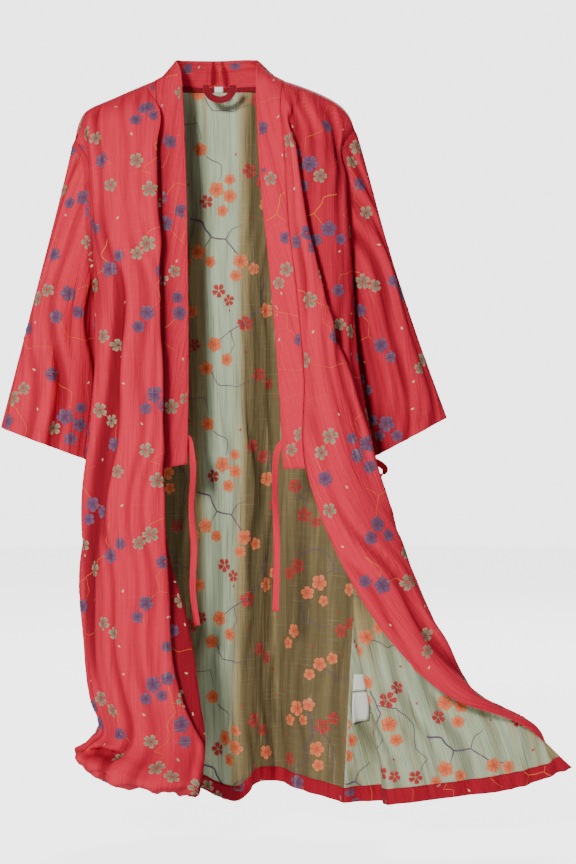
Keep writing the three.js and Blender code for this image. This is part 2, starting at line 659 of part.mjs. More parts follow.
// Ties: sewn inside the free edge of the collar band, then hanging.
const TIE_WIDTH = 11;
const TIES = {
  right: {
    down: 588,
    path: [
      { x: -44, y: -57, z: -586 },
      { x: -37, y: -54, z: -630 },
      { x: -40, y: -52, z: -696 },
      { x: -36, y: -52, z: -761 },
      { x: -38, y: -50, z: -827 },
      { x: -31, y: -50, z: -888 },
    ],
  },
  left: {
    down: 588,
    path: [
      { x: 100, y: -78, z: -604 },
      { x: 96, y: -76, z: -663 },
      { x: 98, y: -74, z: -720 },
      { x: 99, y: -74, z: -774 },
      { x: 97, y: -72, z: -863 },
    ],
  },
};
const toVectors = (rows) => rows.map(({ x, y, z }) => new THREE.Vector3(x, y, z));
for (const side of ["right", "left"]) {
  const { down, path } = TIES[side];
  const fromEnd = BAND_ROWS.length - 1 - BAND_ROWS.indexOf(down);
  const row = side === "right" ? fromEnd : collar.points.length - 1 - fromEnd;
  const way = collar.normals[row].at(-1);
  const inside = way.clone().multiplyScalar(-(BAND / 2 + SEAM + TAPE / 2 + 0.2));
  const edge = collar.points[row].at(-1);
  const start = edge.clone().lerp(collar.points[row].at(-2), 0.8).add(inside);
  const leave = edge.clone().add(inside);
  const run = [start, leave, ...toVectors(path)];
  add(`tie_${side}`, tape(run, TIE_WIDTH, facing(way, FRONT_WAY)), CORAL);
}

// Neck tape, hanging loop and size tag, inside the back of the neck.
const TRIM = 1; // thickness of the neck tape and the tags
const TAPE_SKIN = CLOTH / 2 + 2 * SEAM; // from the middle of the cloth to the tape
const LOOP_STAND = TAPE_SKIN + TRIM + SEAM + 2; // from the middle of the cloth to the middle of the loop
const NECK_TAPE_COLUMNS = { from: neckFrom + 3, to: neckTo - 3 };
const LOOP_WIDTH = 10;
const LOOP = [
  { share: 0.486, down: 1 },
  { share: 0.486, down: 9 },
  { share: 0.4935, down: 18 },
  { share: 0.51, down: 22 },
  { share: 0.5275, down: 18 },
  { share: 0.535, down: 9 },
  { share: 0.535, down: 1 },
];
const TAG = { shares: [0.5, 0.517], downs: [3, 12], stand: TAPE_SKIN + TRIM + SEAM + 0.8 };

function neckTape() {
  const { from, to } = NECK_TAPE_COLUMNS;
  const cut = (rows) => rows.map((row) => row.slice(from, to + 1));
  const [p0, p1, p2] = cut(back.points.slice(0, 3));
  const [n0, n1, n2] = cut(back.normals.slice(0, 3));
  const points = [p0, p1, p1.map((p, i) => p.clone().lerp(p2[i], 0.5))];
  const normals = [n0, n1, n1.map((n, i) => n.clone().lerp(n2[i], 0.5).normalize())];
  return wall({ points, normals, closed: false }, -TAPE_SKIN - TRIM, -TAPE_SKIN);
}
const onBackInside = (at, down, stand) => backPoint(at, down).addScaledVector(FRONT_WAY, stand);
const loopPath = LOOP.map((row) => onBackInside(row.share, row.down, LOOP_STAND));
const tagGrid = surface(TAG.downs, TAG.shares, (at, down) => onBackInside(at, down, TAG.stand), 1);
add("neck_tape", neckTape(), MAROON);
add("hanging_loop", tape(loopPath, LOOP_WIDTH, facing(FRONT_WAY, FRONT_WAY)), MAROON);
add("size_tag", wall(tagGrid, -TRIM / 2, TRIM / 2), WHITE, 0.6);

// Care labels, sewn into the left side seam and lying on the inside of the left front.
const LABELS = [
  { name: "care_label_upper", across: [5, 11, 18], downs: [974, 1001], stand: 2.4 },
  { name: "care_label_lower", across: [4, 11, 18], downs: [1004, 1030, 1052], stand: 2.4 },
];
for (const { name, across, downs, stand } of LABELS) {
  const grid = surface(downs, across, (c, r) => frontPoint(LEFT_FRONT, c, r), 1);
  add(name, wall(grid, -stand - TRIM / 2, -stand + TRIM / 2), WHITE, 0.6);
}

// Belt loop, sewn to the left side seam and standing out from it, turned a little to the front.
const BELT_LOOP = [
  { x: 247, y: 5, z: -620 },
  { x: 264, y: 2, z: -623 },
  { x: 277, y: -2, z: -635 },
  { x: 266, y: 2, z: -646 },
  { x: 249, y: 5, z: -648 },
];
const BELT_LOOP_WIDTH = 11;
const BELT_LOOP_WAY = new THREE.Vector3(0.35, -0.85, 0.4);
add("belt_loop", tape(toVectors(BELT_LOOP), BELT_LOOP_WIDTH, upright(BELT_LOOP_WAY)), CORAL);

export default robe;
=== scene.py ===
import math

import bpy
import numpy as np
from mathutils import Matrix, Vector


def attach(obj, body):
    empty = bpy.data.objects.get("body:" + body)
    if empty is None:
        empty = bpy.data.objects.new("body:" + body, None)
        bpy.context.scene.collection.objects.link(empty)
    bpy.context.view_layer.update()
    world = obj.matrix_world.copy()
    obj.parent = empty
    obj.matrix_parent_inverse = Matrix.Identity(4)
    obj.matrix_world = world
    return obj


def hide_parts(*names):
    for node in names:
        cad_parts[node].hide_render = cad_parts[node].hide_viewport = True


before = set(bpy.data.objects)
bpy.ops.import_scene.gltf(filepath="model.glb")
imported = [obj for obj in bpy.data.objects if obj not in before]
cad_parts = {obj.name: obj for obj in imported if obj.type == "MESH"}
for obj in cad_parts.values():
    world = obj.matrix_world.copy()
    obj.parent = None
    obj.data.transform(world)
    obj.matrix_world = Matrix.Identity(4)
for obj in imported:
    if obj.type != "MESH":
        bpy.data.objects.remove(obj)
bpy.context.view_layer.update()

# ---------------------------------------------------------------------------
# The gauze: two thin layers of cotton woven together, coral outside and sage inside, washed so that it
# crinkles along the warp. Every cloth piece is dyed and woven this way, so its weave is one shared group.

MM = 0.001


def linear(red, green, blue):
    """A dye colour from 0 to 255 as the shader takes it."""
    steps = (channel / 255 for channel in (red, green, blue))
    return tuple(s / 12.92 if s <= 0.04045 else ((s + 0.055) / 1.055) ** 2.4 for s in steps) + (1.0,)


def feed(tree, node, into):
    """Links or sets a node's inputs, by name or number."""
    for name, value in into.items():
        if isinstance(value, bpy.types.NodeSocket):
            tree.links.new(value, node.inputs[name])
        else:
            node.inputs[name].default_value = value


def add(tree, kind, into=(), **settings):
    """A new node with its settings and then its inputs."""
    node = tree.nodes.new(kind)
    for name, value in settings.items():
        setattr(node, name, value)
    feed(tree, node, dict(into))
    return node


def ends(tree, inputs, outputs):
    """Names a group's inputs and outputs, and adds the two nodes that stand for them."""
    for way, named in (("INPUT", inputs), ("OUTPUT", outputs)):
        for name, kind in named.items():
            tree.interface.new_socket(name, in_out=way, socket_type="NodeSocket" + kind)
    return tree.nodes.new("NodeGroupInput").outputs, tree.nodes.new("NodeGroupOutput")


def maths(tree, operation, *values):
    return add(tree, "ShaderNodeMath", enumerate(values), operation=operation).outputs[0]


def blend_colour(tree, share, first, second):
    return add(tree, "ShaderNodeMix", {"Factor": share, 6: first, 7: second}, data_type="RGBA").outputs[2]


def threads(tree, place, per_metre, detail=2.0, distortion=0.0):
    """A noise drawn out along the cloth: so many marks a metre across and along."""
    stretched = add(tree, "ShaderNodeMapping", {"Vector": place, "Scale": (*per_metre, 1)}).outputs[0]
    into = {"Vector": stretched, "Scale": 1.0, "Detail": detail, "Distortion": distortion}
    return add(tree, "ShaderNodeTexNoise", into).outputs["Fac"]


def ramp(tree, value, low, high):
    into = {"Value": value, "From Min": low, "From Max": high}
    return add(tree, "ShaderNodeMapRange", into, interpolation_type="SMOOTHSTEP").outputs[0]


def crinkled_weave():
    """Colour and height of crinkled gauze: fine warp streaks, slubs across, soft crinkles and the weave. The
    cloth's attribute hollow is painted shade: it darkens the colour towards Shade in folds, grooves and other places
    where shade falls."""
    group = bpy.data.node_groups.new("crinkled weave", "ShaderNodeTree")
    inputs = {"Dye": "Color", "Shade": "Color", "Light thread": "Color", "Streaks": "Float"}
    given, out = ends(group, inputs, {"Color": "Color", "Height": "Float"})
    place = add(group, "ShaderNodeUVMap", uv_map="cut").outputs["UV"]
    fine = threads(group, place, (620, 9), 3)
    broad = threads(group, place, (95, 3.2), 3, 0.4)
    slub = threads(group, place, (16, 520), 2)
    crinkle = threads(group, place, (150, 11), 3, 0.6)
    pucker = threads(group, place, (330, 46), 2, 0.3)
    dark = maths(group, "MULTIPLY", ramp(group, fine, 0.5, 0.72), given["Streaks"])
    dark = maths(group, "MULTIPLY_ADD", ramp(group, broad, 0.5, 0.78), 0.28, dark)
    colour = blend_colour(group, maths(group, "MINIMUM", dark, 1.0), given["Dye"], given["Shade"])
    light = maths(group, "MULTIPLY", ramp(group, slub, 0.58, 0.74), 0.14)
    light = maths(group, "MULTIPLY_ADD", ramp(group, crinkle, 0.6, 0.8), 0.3, light)
    colour = blend_colour(group, light, colour, given["Light thread"])
    # Painted shade: the colour turns towards Shade by the cloth's hollow attribute.
    hollow = add(group, "ShaderNodeAttribute", attribute_name="hollow").outputs["Fac"]
    height = maths(group, "MULTIPLY", crinkle, 1.5)
    for noise, share in ((pucker, 0.5), (fine, 0.18), (slub, 0.1)):
        height = maths(group, "MULTIPLY_ADD", noise, share, height)
    feed(group, out, {"Color": blend_colour(group, hollow, colour, given["Shade"]), "Height": height})
    return group


WEAVE = crinkled_weave()


def gauze(name, dye, shade, light_thread, streaks=0.5, shot_lit_and_shaded=None, bump=1.5, roughness=0.82):
    """A cotton finish. dye is a colour or the name of the attribute that holds it. shot is a (deep, light) pair of
    dyes, olive and green, used as painted shade and painted light: the cloth's attribute tone carries it from
    deep at 0 by way of its own dye at 0.4 to light at 1."""
    material = bpy.data.materials.new(name)
    material.use_nodes = True
    tree = material.node_tree
    if isinstance(dye, str):
        dyed = add(tree, "ShaderNodeAttribute", attribute_name=dye).outputs["Color"]
    else:
        dyed = linear(*dye)
    if shot_lit_and_shaded:
        place = add(tree, "ShaderNodeUVMap", uv_map="cut").outputs["UV"]
        uneven = maths(tree, "SUBTRACT", threads(tree, place, (70, 2.5), 3, 0.3), 0.5)
        seen = add(tree, "ShaderNodeAttribute", attribute_name="lit_tone").outputs["Fac"]
        lit_tone = maths(tree, "MULTIPLY_ADD", uneven, 0.8, seen)
        deep = blend_colour(tree, ramp(tree, lit_tone, 0.0, 0.4), linear(*shot_lit_and_shaded[0]), dyed)
        dyed = blend_colour(tree, ramp(tree, lit_tone, 0.4, 1.0), deep, linear(*shot_lit_and_shaded[1]))
    into = {"Dye": dyed, "Shade": linear(*shade), "Light thread": linear(*light_thread), "Streaks": streaks}
    weave = add(tree, "ShaderNodeGroup", into, node_tree=WEAVE).outputs
    into = {"Distance": MM, "Strength": bump, "Height": weave["Height"]}
    relief = add(tree, "ShaderNodeBump", into).outputs[0]
    rough = maths(tree, "MULTIPLY_ADD", weave["Height"], 0.05, roughness - 0.06)
    into = {"Base Color": weave["Color"], "Normal": relief, "Roughness": rough, "Specular IOR Level": 0.12}
    feed(tree, tree.nodes["Principled BSDF"], into)
    return material


CORAL = gauze("coral gauze", (216, 43, 66), (122, 12, 28), (244, 94, 108), 0.3)
# The turned-in hems and cuffs: the coral gauze coloured darker, as painted shade.
SHADED_TURNED_CORAL = gauze("coral gauze, turned, painted shade", (166, 24, 44), (100, 12, 26), (196, 54, 70), 0.4)
# The sage side's two colours, olive and green, used as painted shade and painted light.
SAGE_SHOT_SHADED_AND_LIT = ((112, 98, 66), (178, 194, 162))
SAGE = gauze("sage gauze", (156, 138, 96), (84, 74, 50), (214, 204, 164), 0.55, SAGE_SHOT_SHADED_AND_LIT)

# ---------------------------------------------------------------------------
# The body: a back and two fronts, each cut in one length from shoulder to hem. The right front hangs and
# folds over at its inner edge; the left front sweeps out at its foot and shows its inside.

LENGTH = 1180  # shoulder to hem, in millimetres as all the tables here
ARMPIT = 340
BAND_END = 632
ARCH = 46  # how far down the cloth takes to turn from the shoulder to upright
CLOTH = 1.6
SEAM = 0.3
NEAR = 1e-9


def table(columns, *rows):
    """A short table: its rows, each with the named columns."""
    return [dict(zip(columns.split(), row)) for row in rows]


SHOULDER = {
    "right": table("along x z",
        (0, -234, -92), (0.13, -228, -66), (0.24, -218, -47), (0.42, -187, -31), (0.7, -145, -12), (1, -102, 6)),
    "left": table("along x z",
        (0, 226, -74), (0.15, 218, -53), (0.3, 205, -37), (0.5, 180, -21), (0.75, 145, -6), (1, 110, 6)),
}
ARMHOLE = {
    "right": table("down x front back",
        (0, -234, 0, 0), (30, -217, -15, 16), (120, -206, -28, 36), (240, -203, -24, 34), (310, -200, -8, 18),
        (340, -198, 6, 6)),
    "left": table("down x front back",
        (0, 226, 0, 0), (30, 210, -14, 16), (120, 208, -26, 36), (240, 215, -22, 34), (310, 219, -7, 18),
        (340, 221, 6, 6)),
}
SIDE_SEAM = {
    "right": table("down x y",
        (340, -198, 6), (480, -194, 8), (760, -191, 14), (1000, -188, 18), (1180, -190, 24)),
    "left": table("down x y",
        (340, 221, 6), (480, 230, 8), (640, 244, 10), (760, 234, 15), (1000, 218, 25), (1180, 209, 30)),
}
HEM_LIFT = table("x lift",
    (-190, 50), (-120, 32), (-60, 16), (-25, 1), (12, -12), (37, -9), (62, 15), (95, 14), (140, 5), (209, -10))
RIGHT_FRONT = dict(
    side="right",
    across=dict(round=75, outer=130, inner=175, fold=205, tuck=227, edge=248),
    rows=table("down round outer inner fold tuck edge",
        (30, (-204, -42), (-170, -50), (-130, -56), (-99, -56), (-109, -44), (-98, -40)),
        (120, (-197, -60), (-160, -76), (-122, -83), (-95, -82), (-107, -67), (-92, -60)),
        (240, (-190, -68), (-155, -88), (-118, -95), (-92, -92), (-105, -75), (-88, -66)),
        (340, (-190, -66), (-154, -94), (-116, -103), (-88, -99), (-103, -81), (-86, -70)),
        (480, (-192, -62), (-154, -101), (-114, -113), (-85, -107), (-101, -88), (-84, -76)),
        (640, (-210, -58), (-160, -106), (-116, -121), (-82, -115), (-98, -95), (-83, -83)),
        (760, (-214, -60), (-162, -110), (-114, -127), (-77, -122), (-93, -102), (-76, -90)),
        (880, (-211, -66), (-158, -114), (-110, -133), (-71, -130), (-82, -109), (-43, -98)),
        (1000, (-199, -73), (-150, -120), (-96, -141), (-48, -141), (-62, -119), (-24, -107)),
        (1072, (-182, -80, 12), (-136, -126, 4), (-76, -149), (-18, -152), (-34, -130), (-15, -116)),
        (1130, (-221, -92, 34), (-163, -164, 14), (-96, -192, 6), (-27, -190, 2), (-36, -160, -6), (-22, -140, -10)),
        (1180, (-196, -66, 52), (-150, -118, 44), (-95, -140, 38), (-40, -142, 32), (-42, -124, 28), (-30, -112, 24))),
)
LEFT_FRONT = dict(
    side="left",
    across=dict(hollow=32, ridge=68, sweep=112, turn=165, fold=190, face=228, edge=266),
    rows=table("down hollow ridge sweep turn fold face edge",
        (30, (203, -28), (190, -37), (164, -44), (132, -48), (125, -54), (116, -54), (106, -48)),
        (120, (207, -46), (197, -58), (165, -63), (122, -60), (130, -78), (121, -80), (112, -70)),
        (240, (216, -45), (208, -62), (182, -71), (136, -70), (148, -91), (134, -95), (119, -84)),
        (340, (222, -22), (217, -48), (196, -67), (160, -76), (173, -99), (152, -104), (131, -90)),
        (480, (232, -14), (232, -36), (224, -57), (199, -79), (212, -102), (178, -113), (143, -98)),
        (640, (250, -8), (255, -27), (258, -46), (258, -68), (261, -92), (206, -120), (148, -108)),
        (760, (252, 18), (238, -10), (270, -18, -4), (297, -42, -6), (307, -84, -10), (252, -122, -14),
         (200, -120, -18)),
        (880, (254, 36), (226, -26), (288, -22, -4), (346, -38, -8), (361, -74, -14), (320, -108, -20),
         (278, -116, -23)),
        (990, (264, 44), (246, -40), (330, -36, 0), (411, -44, 0), (424, -64, -4), (400, -84, -6), (376, -94, -8)),
        (1085, (272, 50), (266, -52, 4), (372, -50, 12), (482, -46, 30), (518, -44, 31), (509, -60, 36),
         (495, -70, 39)),
        (1180, (276, 54, -10), (280, -62, 3), (392, -60, 16), (492, -44, 28), (540, -32, 42), (561, -28, 50),
         (582, -25, 58))),
)
BACK_FOLDS = table("name top foot width forward_top forward_foot",
    ("left ridge", -118, -140, 26, 0, 16), ("left valley", -62, -74, 28, -2, -18),
    ("middle roll", 34, 40, 31, 4, 44), ("deep valley", 88, 102, 21, -4, -24), ("right ridge", 128, 156, 24, 0, 20))
BACK_DEPTH = table("down y",
    (0, 57), (120, 60), (340, 66), (760, 84), (1180, 96))
NECK_SHARE = (0.31, 0.71)
NECK_DROP = 7


def curve_weights(knots, at):
    """Weights that carry values at knots to a smooth curve at the places asked for."""
    knots = np.asarray(knots, float)
    at = np.clip(np.asarray(at, float), knots[0], knots[-1])
    gaps = np.diff(knots)
    count = len(knots)
    secant = (np.eye(count)[1:] - np.eye(count)[:-1]) / gaps[:, None]
    slope = np.zeros((count, count))
    slope[0], slope[-1] = secant[0], secant[-1]
    for k in range(1, count - 1):
        slope[k] = (secant[k - 1] * gaps[k] + secant[k] * gaps[k - 1]) / (gaps[k - 1] + gaps[k])
    i = np.clip(np.searchsorted(knots, at, side="left") - 1, 0, count - 2)
    s = ((at - knots[i]) / gaps[i])[:, None]
    h = gaps[i][:, None]
    one = np.eye(count)
    return (
        (2 * s**3 - 3 * s**2 + 1) * one[i]
        + (s**3 - 2 * s**2 + s) * h * slope[i]
        + (3 * s**2 - 2 * s**3) * one[i + 1]
        + (s**3 - s**2) * h * slope[i + 1]
    )


def read(rows, key, name, at):
    """One column of a table as a smooth curve over its key column."""
    weights = curve_weights([row[key] for row in rows], np.atleast_1d(at))
    return weights @ np.array([row[name] for row in rows], float)


def smooth(low, high, at):
    """Rises softly from 0 at low to 1 at high."""
    t = np.clip((np.asarray(at, float) - low) / (high - low), 0, 1)
    return t * t * (3 - 2 * t)


def hump(distance, width):
    """A soft rise that is 1 at no distance and dies out past its width."""
    return np.exp(-((distance / width) ** 2))


def arch(down):
    """How far the cloth has turned from the shoulder line to upright, from 0 to 1."""
    return np.sqrt(1 - (1 - np.minimum(down, ARCH) / ARCH) ** 2)


def slope_left(down):
    """How much of the shoulder's slope is left in a row: none from the armpit down."""
    return np.maximum(0, 1 - np.asarray(down, float) / ARMPIT)


def hem_lift(x, down):
    return read(HEM_LIFT, "x", "lift", np.ravel(x)).reshape(np.shape(x)) * smooth(900, LENGTH, down)


def side_edge(side, down, face):
    """The side edge of the body: an armhole edge down to the armpit, then the side seam."""
    upper = down <= ARMPIT
    x = np.where(upper, read(ARMHOLE[side], "down", "x", down), read(SIDE_SEAM[side], "down", "x", down))
    y = np.where(upper, read(ARMHOLE[side], "down", face, down), read(SIDE_SEAM[side], "down", "y", down))
    lift = np.where(upper, 0, hem_lift(x, down))
    z = -down + slope_left(down) * SHOULDER[side][0]["z"] + lift
    return np.stack([x, y, z], -1), lift


def front_points(front, across, down):
    """A front's points: so far across from its side seam, by so far down from the shoulder."""
    names = list(front["across"])
    posts = np.array([0] + [front["across"][n] for n in names], float)
    top_x = read(SHOULDER[front["side"]], "along", "x", posts / posts[-1])
    side, side_lift = side_edge(front["side"], down, "front")
    cells = np.array([[(list(row[n]) + [0])[:3] for n in names] for row in front["rows"]], float)
    shoulder = np.stack([top_x[1:], cells[0, :, 1] * 0.8, np.zeros(len(names))], -1)
    cells = np.concatenate([shoulder[None], cells])
    by_down = curve_weights([0] + [row["down"] for row in front["rows"]], down)
    at_posts = np.einsum("dk,ksc->dsc", by_down, cells)
    first = np.stack([side[:, 0], side[:, 1] / np.maximum(arch(down), 0.05), side_lift], -1)
    at_posts = np.concatenate([first[:, None], at_posts], 1)
    points = np.einsum("as,dsc->dac", curve_weights(posts, across), at_posts)
    top_z = read(SHOULDER[front["side"]], "along", "z", np.asarray(across) / posts[-1])
    points[..., 1] *= arch(down)[:, None]
    points[..., 2] += -down[:, None] + slope_left(down)[:, None] * top_z[None]
    return points


def back_points(share, down):
    """The back's points: its width in shares from the right side seam to the left, by so far down."""
    low, high = NECK_SHARE
    right, _ = side_edge("right", down, "back")
    left, _ = side_edge("left", down, "back")
    turn = np.clip((share - low) / (high - low), 0, 1) * np.pi
    corners = [(SHOULDER[s][-1]["x"], SHOULDER[s][-1]["z"]) for s in ("right", "left")]
    neck_x = corners[0][0] + (corners[1][0] - corners[0][0]) * (1 - np.cos(turn)) / 2
    right_at, left_at = np.clip(share / low, 0, 1), np.clip((1 - share) / (1 - high), 0, 1)
    on_right, on_left = share <= low, share >= high
    sides = {s: [read(SHOULDER[s], "along", c, at) for c in "xz"] for s, at in (("right", right_at), ("left", left_at))}
    top_x = np.where(on_right, sides["right"][0], np.where(on_left, sides["left"][0], neck_x))
    top_z = np.where(
        on_right, sides["right"][1], np.where(on_left, sides["left"][1], corners[0][1] - NECK_DROP * np.sin(turn))
    )
    top_y = np.where(on_right | on_left, 0, BACK_DEPTH[0]["y"] * np.maximum(np.sin(turn), 0) ** 0.8)
    across, d = share[None, :], down[:, None]
    tips = SHOULDER["right"][0]["x"], SHOULDER["left"][0]["x"]
    drawn = (top_x - (tips[0] + (tips[1] - tips[0]) * share))[None] * (1 - smooth(0, 230, d))
    x = right[:, :1] * (1 - across) + left[:, :1] * across + drawn
    inside = 1 - np.abs(2 * across - 1) ** 3
    side_y = right[:, 1:2] * (1 - across) + left[:, 1:2] * across
    y = side_y + (read(BACK_DEPTH, "down", "y", down)[:, None] - side_y) * inside
    foot = d / LENGTH
    for fold in BACK_FOLDS:
        middle = fold["top"] + (fold["foot"] - fold["top"]) * foot
        forward = fold["forward_top"] + (fold["forward_foot"] - fold["forward_top"]) * foot**0.8
        y = y - forward * hump(x - middle, fold["width"]) * inside
    y = top_y[None] + (y - top_y[None]) * arch(d)
    y[:, 0], y[:, -1] = right[:, 1], left[:, 1]
    z = -d + slope_left(d) * top_z[None] + hem_lift(x, np.broadcast_to(d, x.shape))
    return np.stack([x, y, z], -1)


def outward(points, sign, closed=False):
    """Unit normals of a grid of points, turned outwards by sign."""
    if closed:
        across = np.roll(points, -1, 1) - np.roll(points, 1, 1)
    else:
        across = np.gradient(points, axis=1)
    normals = np.cross(across, np.gradient(points, axis=0)) * sign
    return normals / np.maximum(np.linalg.norm(normals, axis=2, keepdims=True), 1e-9)


def cut_lengths(points):
    """A first guess at the flat cut: lengths across and down the cloth from its middle line."""
    across = np.linalg.norm(np.diff(points, axis=1), axis=2)
    down = np.linalg.norm(np.diff(points, axis=0), axis=2)
    u = np.concatenate([np.zeros((len(points), 1)), np.cumsum(across, 1)], 1)
    v = np.concatenate([np.zeros((1, points.shape[1])), np.cumsum(down, 0)], 0)
    return np.stack([u - u[:, -1:] / 2, v], -1)


def quads(ids):
    """The four-cornered faces of a grid of vertex numbers."""
    return np.stack([ids[:-1, :-1], ids[:-1, 1:], ids[1:, 1:], ids[1:, :-1]], -1).reshape(-1, 4)


def flat_cut(points, down, across, knots=(22, 16), rounds=25):
    """Lays the cloth out flat with as little stretch as it can: each point's place on the cut, in metres.

    It is worked out on a coarse grid, where every triangle is turned to fit and all are joined again, round
    after round, and then carried to the whole grid."""
    i, j = (np.unique(np.linspace(0, count - 1, knot).round().astype(int)) for count, knot in zip(points.shape, knots))
    coarse = points[np.ix_(i, j)]
    rows, columns = coarse.shape[:2]
    cells = quads(np.arange(rows * columns).reshape(rows, columns))
    faces = np.concatenate([cells[:, [0, 1, 2]], cells[:, [0, 2, 3]]])
    corners = coarse.reshape(-1, 3)[faces]
    along, aside = corners[:, 1] - corners[:, 0], corners[:, 2] - corners[:, 0]
    length = np.linalg.norm(along, axis=1)
    run = np.einsum("nk,nk->n", along, aside) / length
    height = np.sqrt(np.maximum(np.einsum("nk,nk->n", aside, aside) - run**2, 1e-6))
    zero = np.zeros_like(run)
    laid = np.stack([np.stack([zero, zero], -1), np.stack([length, zero], -1), np.stack([run, height], -1)], 1)
    size = rows * columns
    matrix = np.zeros((size, size))
    links = []
    for a, b, c in ((0, 1, 2), (1, 2, 0), (2, 0, 1)):
        first, second = laid[:, a] - laid[:, c], laid[:, b] - laid[:, c]
        weight = np.einsum("nk,nk->n", first, second) / (first[:, 0] * second[:, 1] - first[:, 1] * second[:, 0])
        weight = np.maximum(weight, 0.02)
        p, q = faces[:, a], faces[:, b]
        for r, t, sign in ((p, p, 1), (q, q, 1), (p, q, -1), (q, p, -1)):
            np.add.at(matrix, (r, t), sign * weight)
        links.append((p, q, weight, laid[:, a] - laid[:, b]))
    matrix[0, 0] += 1
    inverse = np.linalg.inv(matrix)
    flat = cut_lengths(coarse).reshape(-1, 2)
    for _ in range(rounds):
        fit = np.zeros((len(faces), 2, 2))
        for p, q, weight, edge in links:
            fit += weight[:, None, None] * (flat[p] - flat[q])[:, :, None] * edge[:, None, :]
        left, _, right = np.linalg.svd(fit)
        left[:, :, 1] *= np.sign(np.linalg.det(left @ right))[:, None]
        turned = left @ right
        goal = np.zeros((size, 2))
        for p, q, weight, edge in links:
            step = weight[:, None] * np.einsum("nab,nb->na", turned, edge)
            np.add.at(goal, p, step)
            np.add.at(goal, q, -step)
        goal[0] += flat[0]
        flat = inverse @ goal
    flat = flat.reshape(rows, columns, 2)
    along, aside = (flat[-1] - flat[0]).mean(0), (flat[:, -1] - flat[:, 0]).mean(0)
    lean = math.atan2(along[0], along[1])
    turn = np.array([[math.cos(lean), math.sin(lean)], [-math.sin(lean), math.cos(lean)]])
    flat = (flat - flat[0].mean(0)) @ turn * (math.copysign(1, aside @ turn[:, 0]), 1)
    spread_down, spread_across = curve_weights(np.asarray(down)[i], down), curve_weights(np.asarray(across)[j], across)
    return np.einsum("ai,bj,ijc->abc", spread_down, spread_across, flat) * MM


def wave(turns):
    return np.sin(2 * np.pi * turns)


def creases(cut, seed, folds, edges, crinkle=0.34):
    """Soft folds and crinkles that run down the cloth, in millimetres, dying out at sewn edges."""
    rng = np.random.default_rng(seed)
    u, v = cut[..., 0], cut[..., 1]
    drift = 0.012 * wave(v / 0.61 + rng.random()) + 0.007 * wave(v / 0.23 + rng.random())
    total = np.zeros_like(u)
    for length, height in ((0.058, 1.0), (0.037, 0.8), (0.024, 0.5)):
        come_and_go = 0.55 + 0.45 * wave(v / rng.uniform(0.4, 0.8) + u / 0.31 + rng.random())
        total += folds * height * come_and_go * wave((u + drift) / length + rng.random())
    for length, height in ((0.0175, 1.0), (0.0128, 0.8)):
        come_and_go = 0.5 + 0.5 * wave(v / rng.uniform(0.07, 0.16) + u / rng.uniform(0.02, 0.06) + rng.random())
        total += crinkle * height * come_and_go * wave((u + 0.6 * drift) / length + rng.random())
    fades = {"first": (0.02, u - u[:, :1]), "last": (0.02, u - u[:, -1:]), "top": (0.03, v - v[:1])}
    for edge in edges:
        reach, distance = fades[edge]
        total = total * smooth(0, reach, np.abs(distance))
    return total


def new_object(name, mesh):
    thing = bpy.data.objects.new(name, mesh)
    bpy.context.scene.collection.objects.link(thing)
    return thing


def store(mesh, name, kind, key, values, domain="POINT"):
    mesh.attributes.new(name, kind, domain).data.foreach_set(key, np.asarray(values, np.float32).ravel())


def cloth_wall(name, points, normals, cut, low, high, finishes, lit_tone=None, painted_shades=None):
    """A closed cloth wall round a grid, from low to high along its normals. finishes is (outside, inside). Where
    cut has one more column than points, the grid closes to a tube. The last two give painted light and shade
    for the sage side's two-coloured dye, and painted shade for both sides."""
    (rows, columns), wide = points.shape[:2], cut.shape[1]
    size = rows * columns
    sides = [points + normals * np.broadcast_to(side, (rows, columns))[..., None] for side in (high, low)]
    vertices = np.concatenate([side.reshape(-1, 3) for side in sides]) * MM
    spots = np.arange(rows * wide).reshape(rows, wide)
    ids = np.arange(rows)[:, None] * columns + np.arange(wide) % columns
    paths = [(slice(0, 1), slice(None)), (slice(-1, None), slice(None, None, -1))]
    if wide == columns:
        paths = [paths[0], (slice(None), slice(-1, None)), paths[1], (slice(None, None, -1), slice(0, 1))]

    def faces_of(grid, lift):
        rim = [np.stack([p[:-1], p[:-1] + lift, p[1:] + lift, p[1:]], -1) for p in (grid[at].ravel() for at in paths)]
        front = quads(grid)
        return [front, front[:, ::-1] + lift, np.concatenate(rim)]

    parts, cuts = faces_of(ids, size), faces_of(spots, 0)
    a, b, c = vertices[parts[0][0, [0, 1, 3]]]
    turn = -1 if np.dot(np.cross(b - a, c - a), normals[0, 0]) < 0 else 1
    faces = np.concatenate(parts)[:, ::turn]
    mesh = bpy.data.meshes.new(name)
    mesh.from_pydata(vertices.tolist(), [], faces.tolist())
    for finish in finishes:
        mesh.materials.append(finish)
    number, side = np.arange(len(faces)), len(parts[0])
    inside = (number >= side) & (number < 2 * side)
    mesh.polygons.foreach_set("material_index", (inside * (len(finishes) - 1)).astype(np.int32))
    mesh.polygons.foreach_set("use_smooth", number < 2 * side)
    places = cut.reshape(-1, 2)[np.concatenate(cuts)[:, ::turn]]
    mesh.uv_layers.new(name="cut").data.foreach_set("uv", places.astype(np.float32).ravel())
    for word, values in (("lit_tone", lit_tone if lit_tone is None else (lit_tone, lit_tone)), ("hollow", painted_shades)):
        if values is not None:
            store(mesh, word, "FLOAT", "value", np.clip(np.concatenate([np.ravel(v) for v in values]), 0, 1))
    mesh.update()
    return new_object(name, mesh)


def dress(piece, node):
    """Puts a piece under the root and hides the solid of the part that it stands for."""
    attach(piece, "root")
    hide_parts(node)
    return piece


def stations(*runs):
    """Places along an edge in runs of (from, to, count)."""
    return np.unique(np.concatenate([np.linspace(*run) for run in runs]))


